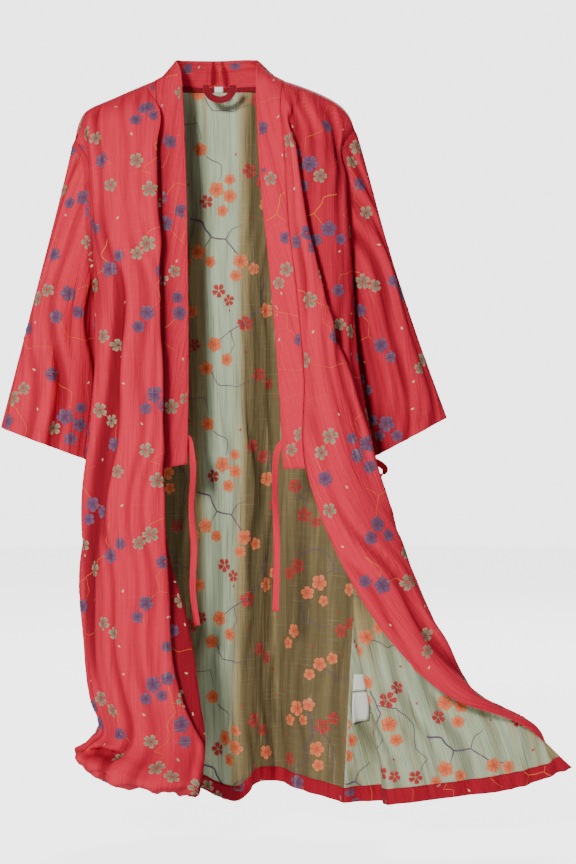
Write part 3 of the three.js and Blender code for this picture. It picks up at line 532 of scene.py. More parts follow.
DOWN = stations((0, ARCH, 12), (ARCH, ARMPIT, 58), (ARMPIT, BAND_END, 54), (BAND_END, 1060, 62), (1060, LENGTH, 49))
RIGHT_ACROSS = stations((0, 175, 50), (175, 227, 26), (227, 248, 9))
LEFT_ACROSS = stations((0, 165, 56), (165, 205, 18), (205, 266, 18))
BACK_ACROSS = stations((0, 0.31, 46), (0.31, 0.71, 62), (0.71, 1, 44))


def drawn_in(points, edges, gap=SEAM / 2):
    """The grid with its sewn edges drawn back from the seam."""
    points = points.copy()
    every = slice(None)
    for name, index, towards in (("first", (every, 0), (every, 1)), ("last", (every, -1), (every, -2)), ("top", 0, 1)):
        if name in edges:
            way = points[towards] - points[index]
            points[index] += way * (gap / np.maximum(np.linalg.norm(way, axis=1, keepdims=True), 1e-6))
    return points


def shoulder_up(points, normals, columns):
    """At the shoulder line the wall ends upright, so that front and back meet face to face."""
    along = np.gradient(points[0, columns], axis=0)
    up = np.stack([-along[:, 2], np.zeros(len(along)), along[:, 0]], -1)
    up *= np.sign(up[:, 2:3])
    normals[0, columns] = up / np.linalg.norm(up, axis=1, keepdims=True)


def share_normals(*edges):
    """Cloths that meet in a seam lie the same way there."""
    total = sum(grid[where] for grid, where in edges)
    total = total / np.linalg.norm(total, axis=-1, keepdims=True)
    for grid, where in edges:
        grid[where] = total


right_front = front_points(RIGHT_FRONT, RIGHT_ACROSS, DOWN)
left_front = front_points(LEFT_FRONT, LEFT_ACROSS, DOWN)
back = back_points(BACK_ACROSS, DOWN)
right_out, left_out, back_out = outward(right_front, -1), outward(left_front, 1), outward(back, 1)
neck = np.flatnonzero((BACK_ACROSS >= NECK_SHARE[0] - NEAR) & (BACK_ACROSS <= NECK_SHARE[1] + NEAR))
shoulder_up(right_front, right_out, slice(None))
shoulder_up(left_front, left_out, slice(None))
shoulder_up(back, back_out, slice(0, neck[0] + 1))
shoulder_up(back, back_out, slice(neck[-1], None))
BELOW = DOWN > ARMPIT
share_normals((right_out, (BELOW, 0)), (back_out, (BELOW, 0)))
share_normals((left_out, (BELOW, 0)), (back_out, (BELOW, -1)))
middle_of_neck = back[0, neck].mean(0) * (1, 0.4, 1)
away = (back[0, neck] - middle_of_neck) * (1, 1, 0)
back_out[0, neck[1:-1]] += (away / np.linalg.norm(away, axis=1, keepdims=True))[1:-1]
back_out[0] /= np.linalg.norm(back_out[0], axis=1, keepdims=True)
right_cut = flat_cut(right_front, DOWN, RIGHT_ACROSS)
left_cut = flat_cut(left_front, DOWN, LEFT_ACROSS)
back_cut = flat_cut(back, DOWN, BACK_ACROSS)
SEWN = ("first", "last", "top")
SEWN_GAP = 0.02
right_folds = creases(right_cut, 3, 3.8, SEWN)
left_folds = creases(left_cut, 5, 3.8, SEWN)
back_folds = creases(back_cut, 7, 2.0, SEWN)
# One long fold runs down the right front from the armpit.
SIDE_FOLD = table("down across deep",
    (250, 134, 0), (371, 128, 6), (520, 112, 10), (652, 100, 10), (850, 88, 8), (1000, 85, 0))
fold_at, fold_deep = (read(SIDE_FOLD, "down", name, DOWN)[:, None] for name in ("across", "deep"))
from_fold = RIGHT_ACROSS[None] - fold_at
right_folds -= fold_deep * hump(from_fold, 13) - 0.4 * fold_deep * hump(from_fold + 34, 16)
right_front += right_out * right_folds[..., None]
# The right front's foot is pushed together in level ripples, with a hollow at its outer side.
pool = smooth(1080, 1110, DOWN) * (1 - smooth(1135, 1165, DOWN))
pool = pool[:, None] * ((1 - smooth(110, 190, RIGHT_ACROSS)) * smooth(0, 30, RIGHT_ACROSS))[None]
slant = DOWN[:, None] + 0.18 * RIGHT_ACROSS[None] + 6 * np.sin(RIGHT_ACROSS / 17)[None]
right_front += right_out * (pool * (3.4 * np.sin(slant / 6.4) + 1.2 * np.sin(slant / 2.9 + 1)))[..., None]
FOOT_HOLLOW = dict(x=-178, z=-1088, wide=27, high=9, deep=24)
reach = np.hypot(
    (right_front[..., 0] - FOOT_HOLLOW["x"]) / FOOT_HOLLOW["wide"],
    (right_front[..., 2] - FOOT_HOLLOW["z"]) / FOOT_HOLLOW["high"],
)
in_front = (RIGHT_ACROSS < 175)[None] * (DOWN > 1040)[:, None]
right_front[..., 1] += FOOT_HOLLOW["deep"] * (1 - smooth(0.4, 1.5, reach)) * in_front
dented = ((1 - smooth(1.5, 1.9, reach)) * in_front)[..., None]
right_out = right_out * (1 - dented) + outward(right_front, -1) * dented
right_out /= np.linalg.norm(right_out, axis=2, keepdims=True)
left_front += left_out * left_folds[..., None]
back += back_out * back_folds[..., None]
right_front, left_front, back = (drawn_in(panel, SEWN, SEWN_GAP) for panel in (right_front, left_front, back))


def painted_fold_shade(folds, full, outside=0.0, inside=0.0):
    """Painted shade on the two sides of a cloth: darker the deeper each side lies in its folds, with the painted shade
    of larger folds and grooves added to each.
    """
    low, high = 0.62 * smooth(-0.15 * full, full, -folds), 0.55 * smooth(0, full, folds)
    return np.clip(low + outside, 0, 0.92), np.clip(high + inside, 0, 0.92)


def between(low, high, soft, at):
    """1 between low and high, dying out over soft at both ends."""
    return smooth(low - soft, low + soft, at) * (1 - smooth(high - soft, high + soft, at))


# Painted shade on the right front: its colour is darkened in the side seam's groove, behind the folded edge, beside the
# sleeve, along the side fold and in the foot's hollow, where shade falls.
upright, along_row = DOWN[:, None], RIGHT_ACROSS[None]
seam_groove_shade = (1 - smooth(4, 16, along_row)) * smooth(30, 90, upright)
shade_behind_edge = between(203, 260, 5, along_row) * smooth(30, 110, upright)
shade_beside_sleeve = between(20, 112, 14, along_row) * between(190, 380, 40, upright)
side_fold_shade = hump(along_row - fold_at, 13) * np.minimum(fold_deep / 8, 1)
foot_shade = 1 - smooth(0.4, 1.1, reach)
right_painted_shade = painted_fold_shade(
    right_folds,
    5,
    0.8 * seam_groove_shade + 0.8 * shade_behind_edge + 0.3 * shade_beside_sleeve + 0.35 * side_fold_shade + 0.7 * foot_shade * in_front,
)
# Painted shade on the left front: in its side seam's groove, under the folded-over edge and beside the fold.
along_row = LEFT_ACROSS[None]
seam_groove_shade = (1 - smooth(6, 24, along_row)) * (1 - smooth(640, 760, upright))
shade_under_fold = between(-20, 176, 8, along_row) * (1 - smooth(600, 720, upright)) * smooth(20, 90, upright)
shade_beside_fold = between(140, 184, 10, along_row) * smooth(20, 90, upright) * (1 - smooth(640, 800, upright))
left_painted_shade = painted_fold_shade(left_folds, 5, 0.6 * seam_groove_shade + 0.34 * shade_under_fold + 0.3 * shade_beside_fold)
# Painted shade in the back's folds.
back_painted_shade = painted_fold_shade(back_folds, 4)


def painted_shot_light(*bands):
    """Painted light on the sage side's two colours: green painted where it is lit, olive as painted shade elsewhere;
    bands of (from, full, to, none).
    """
    return lambda at: sum(size * smooth(a, b, at) * (1 - smooth(c, d, at)) for a, b, c, d, size in bands)


# Painted light on the sage side: green where it is lit, in a roll down the middle of the back, near the top of the back
# and where the left front turns out; olive, as painted shade, elsewhere.
drift = 14 * smooth(500, 1150, DOWN)[:, None]
lit_middle_roll = painted_shot_light((-80, -30, -30, 10, 0.42), (-40, 6, 24, 60, 0.95), (60, 84, 300, 320, 0.04))
back_lit_tone = lit_middle_roll(back[..., 0] + drift)
lit_neck = 0.75 * (1 - smooth(120, 520, DOWN))[:, None] * (1 - smooth(20, 66, back[..., 0]))
back_lit_tone = np.maximum(back_lit_tone, lit_neck)
lit_sweep_green = painted_shot_light((-60, -50, 60, 190, 0.8), (60, 170, 196, 250, 0.72), (196, 250, 300, 310, 0.36))
left_lit_tone = lit_sweep_green(LEFT_ACROSS)[None] * (0.25 + 0.75 * smooth(820, 960, DOWN))[:, None]
# One even tone, partway towards the olive of painted shade, for the sage side of the right front and the sleeves.
PLAIN_LIT_TONE = 0.2
right_lit_tone = np.full(right_cut.shape[:2], PLAIN_LIT_TONE)
cloths = {
    "back": (back, back_out, back_cut, 1),
    "front_right": (right_front, right_out, right_cut, -1),
    "front_left": (left_front, left_out, left_cut, 1),
}
panels = {}


def gauze_wall(name, node, grid, normals, cut, lit_tone, painted_shades):
    wall = cloth_wall(name, grid, normals, cut, -CLOTH / 2, CLOTH / 2, (CORAL, SAGE), lit_tone, painted_shades)
    panels[node] = dress(wall, node)


gauze_wall("back_panel", "back", *cloths["back"][:3], back_lit_tone, back_painted_shade)
gauze_wall("right_front", "front_right", *cloths["front_right"][:3], right_lit_tone, right_painted_shade)
gauze_wall("left_front", "front_left", *cloths["front_left"][:3], left_lit_tone, left_painted_shade)

# ---------------------------------------------------------------------------
# The sleeves: each one rectangle of gauze, folded at the top line and seamed under the arm, set into the
# armhole between front and back. They hang outwards and widen to open cuffs.

SLEEVE = {
    "right": table("along outerX outerZ innerX innerZ half outerY innerY",
        (0, -234, -92, -198, -340, 33, 5, 6), (0.12, -248, -148, -200, -382, 37, 4, 22),
        (0.35, -277, -258, -199, -448, 42, 4, 32), (0.7, -320, -424, -200, -543, 45, 6, 34),
        (1, -357, -565, -212, -620, 46, 8, 26)),
    "left": table("along outerX outerZ innerX innerZ half outerY innerY",
        (0, 226, -74, 221, -340, 32, 5, 6), (0.12, 242, -120, 225, -382, 36, 5, 22),
        (0.35, 276, -246, 229, -450, 41, 6, 34), (0.7, 332, -420, 238, -544, 44, 8, 36),
        (1, 379, -549, 255, -616, 45, 10, 28)),
}
SLEEVE_FOLDS = table("name around width depth",
    ("front groove", 0.3, 0.05, 7), ("front roll", 0.2, 0.05, -5), ("back groove", 0.68, 0.05, 7),
    ("back roll", 0.8, 0.06, -4))
SLEEVE_STEP = table("share out drop",
    (0, 5, 10), (0.15, 8, 4), (0.8, 8, 4), (1, 6, 7))
CUFF_FROM, CUFF_SEWN = 0.945, 0.953  # shares of the sleeve's length
SLEEVE_ALONG = stations((0, 0.06, 7), (0.06, CUFF_FROM, 100), (CUFF_FROM, 1, 10))
AT_ARMHOLE = DOWN <= ARMPIT + NEAR


def sleeve_points(side):
    """A sleeve's rings from the armhole to the cuff, each round the arm from the top line."""
    downs = DOWN[AT_ARMHOLE]
    front, back_edge = (side_edge(side, downs, face)[0] for face in ("front", "back"))
    loop = np.concatenate([front, back_edge[1:-1][::-1]])
    half = len(downs) - 1
    index = np.arange(len(loop))
    share = (loop[0, 2] - loop[:, 2]) / (loop[0, 2] - loop[half, 2])
    face = np.where(index <= half, -1, 1)
    turn = np.where(index <= half, share / 2, 1 - share / 2)
    swell = np.sqrt(np.maximum(0, 1 - (1 - 2 * share) ** 2)) ** 0.8
    at = {n: read(SLEEVE[side], "along", n, SLEEVE_ALONG)[:, None] for n in SLEEVE[side][0] if n != "along"}
    x = at["outerX"] * (1 - share) + at["innerX"] * share
    y = at["outerY"] * (1 - share) + at["innerY"] * share + face * at["half"] * swell
    z = at["outerZ"] * (1 - share) + at["innerZ"] * share
    for fold in SLEEVE_FOLDS:
        grown = smooth(0.1, 0.6, SLEEVE_ALONG)[:, None]
        y = y - face * fold["depth"] * hump(turn - fold["around"], fold["width"]) * grown
    step = np.minimum(SLEEVE_ALONG / 0.03, 1)[:, None]
    sign = -1 if side == "right" else 1
    start_x = loop[:, 0] + sign * step * read(SLEEVE_STEP, "share", "out", share)
    start_z = loop[:, 2] - step * read(SLEEVE_STEP, "share", "drop", share)
    part = smooth(0.01, 0.35, SLEEVE_ALONG)[:, None]
    start_y = np.broadcast_to(loop[:, 1], start_x.shape)
    pairs = ((start_x, x), (start_y, y), (start_z, z))
    return np.stack([start * (1 - part) + end * part for start, end in pairs], -1)


def ringed(array):
    """A tube's rings opened out: the first point again at the end of each."""
    return np.concatenate([array, array[:, :1]], 1)


sleeves = {}
# Painted shade on the sleeves: on their side towards the body, near the armhole seam, and all over the left sleeve.
for side, seed, sign, shade in (("right", 11, -1, (0.32, 0)), ("left", 13, 1, (0.45, 0.2))):
    rings = sleeve_points(side)
    out = outward(rings, sign, closed=True)
    count = rings.shape[1]
    cut = flat_cut(ringed(rings), SLEEVE_ALONG, np.arange(count + 1))
    near_seam = smooth(0, 0.02, np.minimum(np.arange(count), np.arange(count, 0, -1)) * 0.004)
    waves = creases(cut[:, :-1], seed, 3.8, ("top",)) * near_seam
    rings = drawn_in(rings + out * waves[..., None], ("top",), SEAM)
    round_arm = np.linspace(0, 1, count + 1)[None, :-1]
    shade_towards_body = smooth(0.24, 0.42, round_arm) * (1 - smooth(0.6, 0.76, round_arm))
    shade_at_seam = 1 - smooth(0.02, 0.09, SLEEVE_ALONG)[:, None]
    painted_shades = painted_fold_shade(waves, 5, shade[0] * shade_towards_body + shade[1] + 0.35 * shade_at_seam)
    gauze_wall(f"{side}_sleeve", f"sleeve_{side}", rings, out, cut, np.full(waves.shape, PLAIN_LIT_TONE), painted_shades)
    sleeves[side] = (rings, out, cut)
    cloths[f"sleeve_{side}"] = (ringed(rings), ringed(out), cut, sign)

# ---------------------------------------------------------------------------
# The collar band: one long strip folded double, sewn along the open edge of both fronts and round the neck.
# It stands up behind the neck and is drawn in with a few small tucks at the middle of the back.

NECK_LENGTH = 230
BAND = 2.8
COLLAR_FREE = table("along x y z",
    (-640, -46, -66, -632), (-480, -44, -58, -480), (-340, -45, -54, -340), (-120, -50, -44, -122),
    (-45, -54, -30, -40), (0, -60, -10, 26), (20, -67, 8, 41), (45, -57, 26, 44), (115, 0, 46, 47),
    (185, 57, 26, 45), (210, 67, 8, 40), (230, 64, -10, 24), (275, 65, -32, -42), (350, 69, -52, -125),
    (570, 90, -76, -346), (710, 101, -84, -486), (870, 110, -88, -640))
BAND_ROWS = np.flatnonzero(DOWN <= BAND_END + NEAR)
seam_right = front_points(RIGHT_FRONT, RIGHT_ACROSS, DOWN)[BAND_ROWS[::-1], -1]
neck_shares = np.linspace(*NECK_SHARE, 150)[1:-1]
seam_neck = back_points(neck_shares, DOWN[:2])[0]
seam_left = front_points(LEFT_FRONT, LEFT_ACROSS, DOWN)[BAND_ROWS, -1]
seam = np.concatenate([seam_right, seam_neck, seam_left])
neck_along = (neck_shares - NECK_SHARE[0]) / (NECK_SHARE[1] - NECK_SHARE[0]) * NECK_LENGTH
along = np.concatenate([-DOWN[BAND_ROWS[::-1]], neck_along, NECK_LENGTH + DOWN[BAND_ROWS]])
free = np.stack([read(COLLAR_FREE, "along", name, along) for name in "xyz"], -1)
shares = np.concatenate([np.linspace(0, 0.94, 22), [0.965, 0.985, 1.0]])
collar = seam[:, None] * (1 - shares[None, :, None]) + free[:, None] * shares[None, :, None]
TUCKS = ((100, -0.6), (106, 1.1), (114, -0.9), (123, 1.0), (130, -0.7))
tuck_wave = sum(hump(along - at, 2.6) * size for at, size in TUCKS)
collar[..., 1] -= 5.0 * tuck_wave[:, None] * np.sin(np.pi * np.minimum(shares * 1.1, 1))[None]
collar_out = outward(collar, 1)
at_neck = np.stack([np.interp(neck_shares, BACK_ACROSS, back_out[0, :, k]) for k in range(3)], -1)
seam_out = np.concatenate([right_out[BAND_ROWS[::-1], -1], at_neck, left_out[BAND_ROWS, -1]])
hold = (1 - smooth(0, 0.12, shares))[None, :, None]
collar_out = collar_out * (1 - hold) + seam_out[:, None] * hold
collar_out /= np.linalg.norm(collar_out, axis=2, keepdims=True)
collar_cut = flat_cut(collar, along, shares, (40, 5))
from_seam = np.abs(collar_cut[..., 0] - collar_cut[:, :1, 0])
collar_waves = creases(collar_cut[..., ::-1], 17, 0.35, (), 0.14) * smooth(0, 0.006, from_seam)
collar = drawn_in(collar + collar_out * collar_waves[..., None], ("first",), 2 * SEAM)
half_band = BAND / 2 * np.sqrt(np.maximum(1 - np.clip((shares - 0.94) / 0.06, 0, 1) ** 2, 0.02))[None]
# Painted shade on the collar band: outside beside its seam down the right front, and inside in the tucks at the back of
# the neck and a little all over.
shade_beside_seam = (1 - smooth(0.0, 0.6, shares))[None] * (1 - smooth(-110, -60, along))[:, None]
shade_in_tuck = np.clip(tuck_wave, 0, 1)[:, None] * smooth(0, 0.2, shares)[None]
band_painted_shade = (np.clip(0.7 * shade_beside_seam, 0, 0.9), np.clip(0.8 * shade_in_tuck + 0.15, 0, 0.9))
band = cloth_wall("collar_band", collar, collar_out, collar_cut, -half_band, half_band, (CORAL,), None, band_painted_shade)
dress(band, "collar")

# ---------------------------------------------------------------------------
# The turned hems and cuffs: the gauze is turned in twice and stitched down, so its coral outside shows on
# # the inside as a narrow band, coloured darker as painted shade.

HEM_TURN = 25
TURNED = 1.2
skin = -CLOTH / 2 - SEAM


def turned_edge(name, node, points, normals, cut, ends_thick):
    """The edge turned to the inside: as thick as TURNED, and thin along its top and its foot."""
    thick = np.full((len(points), 1), TURNED)
    thick[0] = thick[-1] = ends_thick
    turns[node] = dress(cloth_wall(name, points, normals, cut, skin - thick, skin, (SHADED_TURNED_CORAL,)), node)
    edges[node] = (points, cut)


turns, edges = {}, {}
hem_rows = np.flatnonzero(DOWN >= LENGTH - HEM_TURN - NEAR)
hem_columns = {
    "back": len(BACK_ACROSS),
    "front_right": int(np.sum(RIGHT_ACROSS <= RIGHT_FRONT["across"]["inner"] + NEAR)),
    "front_left": len(LEFT_ACROSS),
}
for name, node, panel in (
    ("back_hem", "hem_back", "back"),
    ("right_hem", "hem_right", "front_right"),
    ("left_hem", "hem_left", "front_left"),
):
    turned_edge(name, node, *(grid[hem_rows, : hem_columns[panel]] for grid in cloths[panel][:3]), 0.35 * TURNED)
cuff_rows = SLEEVE_ALONG >= CUFF_FROM - NEAR
for side in ("right", "left"):
    turned_edge(f"{side}_cuff", f"cuff_{side}", *(grid[cuff_rows] for grid in sleeves[side]), 0.4)

# ---------------------------------------------------------------------------
# The ties: two narrow strips of the gauze, each folded and sewn flat, stitched inside the lower end of the
# collar band and hanging free. The belt loop on the left side seam is made the same way.

TAPE = 1.4


def along_path(points, steps):
    """A smooth line through given points, with as many steps between each two."""
    points = np.array(points, float)
    at = np.concatenate([[0], np.cumsum(np.linalg.norm(np.diff(points, axis=0), axis=1) ** 0.5)])
    spots = np.interp(np.linspace(0, len(points) - 1, steps * (len(points) - 1) + 1), np.arange(len(points)), at)
    return curve_weights(at, spots) @ points


def ribbon(name, line, width, side, finish, bulge=0.0):
    """A flat strip along a line, its width along side, with rounded long edges and a soft bulge."""
    side = np.broadcast_to(side, line.shape).astype(float)
    way = np.gradient(line, axis=0)
    side = side - way * (np.einsum("nk,nk->n", side, way) / np.einsum("nk,nk->n", way, way))[:, None]
    side /= np.linalg.norm(side, axis=1, keepdims=True)
    across = np.sin(np.linspace(-np.pi / 2, np.pi / 2, 9))
    points = line[:, None] + side[:, None] * (across * width / 2)[None, :, None]
    normals = outward(points, 1)
    points = points + normals * (bulge * (1 - across**2))[None, :, None]
    half = TAPE / 2 * np.sqrt(np.maximum(1 - across**4, 0.04))
    return cloth_wall(name, points, normals, cut_lengths(points) * MM, -half, half, (finish,)), points, normals


def collar_row(side, down):
    """The collar's row nearest to a place down one of the fronts."""
    at = -down if side == "right" else NECK_LENGTH + down
    return int(np.argmin(np.abs(along - at)))


TIE_WIDTH = 11
TIED_AT = 588
TIES = {
    "right": [
        (-44, -57, -586), (-37, -54, -630), (-40, -52, -696), (-36, -52, -761), (-38, -50, -827), (-31, -50, -888),
    ],
    "left": [(100, -78, -604), (96, -76, -663), (98, -74, -720), (99, -74, -774), (97, -72, -863)],
}
for side, hung in TIES.items():
    row = collar_row(side, TIED_AT)
    way = collar_out[row, -1]
    edge = collar[row, -1] - way * (BAND / 2 + SEAM + TAPE / 2 + 0.2)
    start = edge + (collar[row, -6] - collar[row, -1])
    line = along_path([start, edge] + list(hung), 14)
    share = smooth(0.02, 0.3, np.linspace(0, 1, len(line)))[:, None]
    face = way * (1 - share) + np.array([0.12, -1, 0]) * share
    twist = 0.5 * np.sin(np.linspace(0, 9, len(line)))[:, None] * share
    sideways = np.cross(face, np.gradient(line, axis=0))
    sideways /= np.linalg.norm(sideways, axis=1, keepdims=True)
    tie = dress(ribbon(f"{side}_tie", line, TIE_WIDTH, sideways + twist * face, CORAL, 0.5)[0], f"tie_{side}")

loop_line = along_path([(247, 5, -620), (264, 2, -623), (277, -2, -635), (266, 2, -646), (249, 5, -648)], 12)
belt_loop = dress(ribbon("side_belt_loop", loop_line, TIE_WIDTH, (0.7, -0.4, 0.6), CORAL)[0], "belt_loop")

# ---------------------------------------------------------------------------
# Inside the neck: a maroon tape over the seam, a hanging loop of the same tape with two rows of stitches, and
# a small bare size tag. The care labels, bare too, are sewn into the left side seam.

TRIM = 1.0
TAPE_SKIN = CLOTH / 2 + 2 * SEAM
LOOP_STAND = TAPE_SKIN + TRIM + SEAM + 2
TAG_STAND = TAPE_SKIN + TRIM + SEAM + 0.8
LABEL_STAND = 2.6
MAROON = gauze("maroon tape", (126, 24, 36), (92, 16, 28), (158, 48, 56), 0.35)
WHITE = gauze("white label", (236, 234, 228), (214, 212, 206), (250, 250, 248), 0.12, bump=0.15, roughness=0.5)

tape_columns = np.flatnonzero((BACK_ACROSS >= NECK_SHARE[0] + 0.1) & (BACK_ACROSS <= NECK_SHARE[1] - 0.1))
neck_part = slice(len(BAND_ROWS), len(BAND_ROWS) + len(neck_shares))


def at_tape(grid, column):
    """A line of the collar's grid at the places round the neck where the back's columns end."""
    line = grid[neck_part, column]
    return np.stack([np.interp(BACK_ACROSS[tape_columns], neck_shares, line[:, k]) for k in range(line.shape[1])], -1)


def below_seam(grid, down):
    """A line of the back's grid so many millimetres under the neck seam."""
    share = down / DOWN[1]
    return grid[0, tape_columns] * (1 - share) + grid[1, tape_columns] * share


places = (0, 2, 4.1)
tape_grid = np.stack([at_tape(collar, 2), at_tape(collar, 1)] + [below_seam(back, down) for down in places])
tape_out = np.stack([at_tape(collar_out, 2), at_tape(collar_out, 1)] + [below_seam(back_out, down) for down in places])
tape_out /= np.linalg.norm(tape_out, axis=2, keepdims=True)
tape_low = -np.array([BAND / 2, BAND / 2, BAND / 2, CLOTH / 2 + 0.3, CLOTH / 2])[:, None] - 2 * SEAM - TRIM
tape_cut = cut_lengths(tape_grid) * MM
neck_tape = cloth_wall("neck_seam_tape", tape_grid, tape_out, tape_cut, tape_low, tape_low + TRIM, (MAROON,))
LOOP = [(0.484, 1), (0.484, 9), (0.4925, 18.5), (0.5105, 23), (0.5285, 18.5), (0.537, 9), (0.537, 1)]
LOOP_WIDTH = 11.5
FRONT_WAY = np.array([0, -1, 0])


def on_back(share, down, stand):
    """A point in front of the back's inside, standing off it by so much."""
    return back_points(np.array([share]), np.array([float(down)]))[0, 0] + FRONT_WAY * stand


hang_line = along_path([on_back(at, down, LOOP_STAND) for at, down in LOOP], 8)
hang_side = np.cross(FRONT_WAY, np.gradient(hang_line, axis=0))
hanging_loop, hang_points, hang_normals = ribbon("hanger_loop", hang_line, LOOP_WIDTH, hang_side, MAROON, 0.3)
tag_shares = np.linspace(0.5, 0.517, 5)
tag = np.array([[on_back(share, down, TAG_STAND) for share in tag_shares] for down in np.linspace(3, 12, 4)])
size_tag = cloth_wall("small_tag", tag, outward(tag, 1), cut_lengths(tag) * MM, -TRIM / 2, TRIM / 2, (WHITE,))
dress(neck_tape, "neck_tape")
dress(hanging_loop, "hanging_loop")
dress(size_tag, "size_tag")


def on_left_front(grid, across, down):
    """The left front's points or normals at so many places, with all its folds."""
    rows = np.array([[np.interp(down, DOWN, grid[:, j, k]) for k in range(3)] for j in range(len(LEFT_ACROSS))])
    rows = rows.transpose(2, 0, 1)
    return np.array([[[np.interp(at, LEFT_ACROSS, row[:, k]) for k in range(3)] for at in across] for row in rows])


for name, low, high, curl in (("care_label_upper", 974, 1001, 0), ("care_label_lower", 1004, 1052, 2)):
    rows, columns = np.linspace(low, high, 9), np.linspace(4, 18, 7)
    label_out = on_left_front(left_out, columns, rows)
    label_out /= np.linalg.norm(label_out, axis=2, keepdims=True)
    stand = LABEL_STAND + curl * ((rows - low) / (high - low)) ** 2
    label = on_left_front(left_front, columns, rows) - label_out * stand[:, None, None]
    cut = cut_lengths(label) * MM
    piece = cloth_wall(f"{name}_bare", label, label_out, cut, -TRIM / 2, TRIM / 2, (WHITE,))
    dress(piece, name)

# ---------------------------------------------------------------------------
# The woven design: blossoms, twigs and fallen petals in a repeat. Seen from the coral side the blossoms are
# purple and beige on golden twigs, from the sage side orange and red on slate twigs, as one weave gives both.

REPEAT = (300, 462)  # across and down the cloth, in millimetres
BLOSSOMS = table("kind x y size turn",
    ("full", 34, 40, 14.0, 0.2), ("full", 58, 31, 11.6, 1.1), ("full", 48, 58, 9.8, 0.6),
    ("open", 84, 66, 13.4, 0.3), ("open", 103, 50, 11.0, 0.9), ("full", 76, 104, 13.4, 0.0),
    ("full", 80, 131, 10.4, 0.5), ("open", 22, 128, 12.2, 0.1), ("open", 40, 176, 12.8, 1.0),
    ("open", 92, 196, 11.0, 0.4), ("full", 150, 24, 12.2, 0.8), ("full", 176, 92, 14.0, 0.4),
    ("full", 199, 104, 12.2, 0.0), ("open", 158, 112, 11.6, 0.7), ("full", 186, 128, 11.0, 1.2),
    ("open", 232, 62, 12.8, 0.5), ("full", 262, 118, 12.2, 0.2), ("open", 276, 162, 11.0, 0.0),
    ("full", 142, 196, 13.4, 0.9), ("full", 216, 214, 12.8, 0.3), ("full", 238, 226, 11.0, 0.7),
    ("open", 30, 262, 13.4, 0.6), ("open", 12, 276, 11.0, 1.1), ("full", 70, 288, 14.0, 0.1),
    ("full", 50, 306, 11.6, 0.8), ("full", 78, 318, 9.8, 0.4), ("full", 128, 296, 11.6, 0.2),
    ("open", 176, 262, 12.2, 0.3), ("full", 262, 296, 13.4, 0.6), ("open", 222, 318, 13.4, 0.9),
    ("full", 24, 372, 12.8, 0.3), ("open", 112, 366, 12.2, 0.7), ("full", 166, 352, 13.4, 0.5),
    ("full", 188, 378, 11.6, 0.0), ("full", 150, 392, 12.2, 0.9), ("open", 246, 404, 11.6, 0.4),
    ("full", 74, 424, 12.2, 0.2), ("full", 20, 62, 10.4, 0.9), ("full", 199, 76, 9.8, 0.3),
    ("open", 254, 80, 11.0, 0.2), ("open", 62, 187, 9.8, 0.5), ("full", 162, 213, 10.4, 0.2),
    ("full", 122, 212, 9.8, 0.6), ("full", 208, 238, 10.4, 0.5), ("open", 195, 279, 10.4, 0.8),
    ("full", 281, 277, 10.4, 0.1), ("open", 131, 352, 10.4, 0.4), ("full", 10, 394, 10.4, 0.8),
    ("full", 96, 413, 10.4, 0.6), ("open", 265, 420, 10.4, 0.9), ("full", 57, 442, 9.8, 0.3))
TWIGS = table("width path",
    (2.6, [(60, 44), (68, 84), (52, 104), (58, 122), (30, 146)]),
    (1.8, [(64, 70), (92, 82), (112, 112), (104, 152), (118, 172), (96, 194)]),
    (1.6, [(30, 146), (44, 152), (40, 172)]),
    (3.2, [(128, 138), (150, 146), (164, 172), (190, 176), (216, 208), (246, 222)]),
    (1.8, [(164, 172), (152, 190)]), (1.5, [(190, 176), (204, 158), (222, 152)]),
    (1.7, [(160, 36), (186, 52), (182, 78)]), (1.6, [(240, 70), (266, 84), (262, 112), (284, 134), (276, 156)]),
    (2.2, [(30, 246), (58, 232), (84, 238), (96, 262), (74, 280)]), (1.6, [(96, 262), (124, 272), (132, 290)]),
    (2.0, [(58, 296), (40, 330), (46, 352), (28, 368)]), (1.5, [(46, 352), (78, 362), (106, 358)]),
    (2.8, [(262, 246), (250, 272), (262, 290), (232, 304), (226, 316), (196, 330), (172, 348)]),
    (1.6, [(196, 330), (204, 352), (192, 374)]), (1.7, [(158, 396), (170, 420), (206, 424), (240, 410)]),
    (1.6, [(80, 428), (104, 446), (146, 440), (152, 470)]))
PETALS = table("x y turn",
    (118, 18, 0.4), (128, 82, 1.3), (14, 86, 0.8), (210, 34, 2.1), (286, 22, 0.2), (236, 142, 1.7), (68, 160, 1.0),
    (124, 232, 0.5), (284, 216, 2.4), (196, 296, 1.4), (104, 336, 0.3), (286, 352, 1.9), (222, 366, 0.9),
    (58, 394, 2.6), (116, 404, 1.1), (278, 440, 0.6))
OUTSIDE = dict(full=(118, 80, 104), full_line=(84, 54, 84), open=(166, 146, 116), open_line=(84, 90, 74),
               twig=(224, 104, 52), petal=(222, 170, 144), slim=0.62)
INSIDE = dict(full=(228, 136, 88), full_line=(208, 78, 52), open=(198, 56, 60), open_line=(150, 62, 52),
              twig=(104, 84, 104), petal=(190, 62, 62), slim=1.0)


class Flat:
    """Flat faces with a dye colour at each corner."""

    def __init__(self):
        self.points, self.faces, self.dyes = [], [], []

    def add(self, points, dyes, faces):
        start = len(self.points)
        self.points += [(x * MM, y * MM, lift * MM) for x, y, lift in points]
        self.dyes += [linear(*dye) for dye in dyes]
        self.faces += [tuple(start + k for k in face) for face in faces]

    def mesh(self, name):
        made = bpy.data.meshes.new(name)
        made.from_pydata(self.points, [], self.faces)
        store(made, "dye", "FLOAT_COLOR", "color", self.dyes)
        return made


def mixed(first, second, share):
    return tuple(a + (b - a) * share for a, b in zip(first, second))


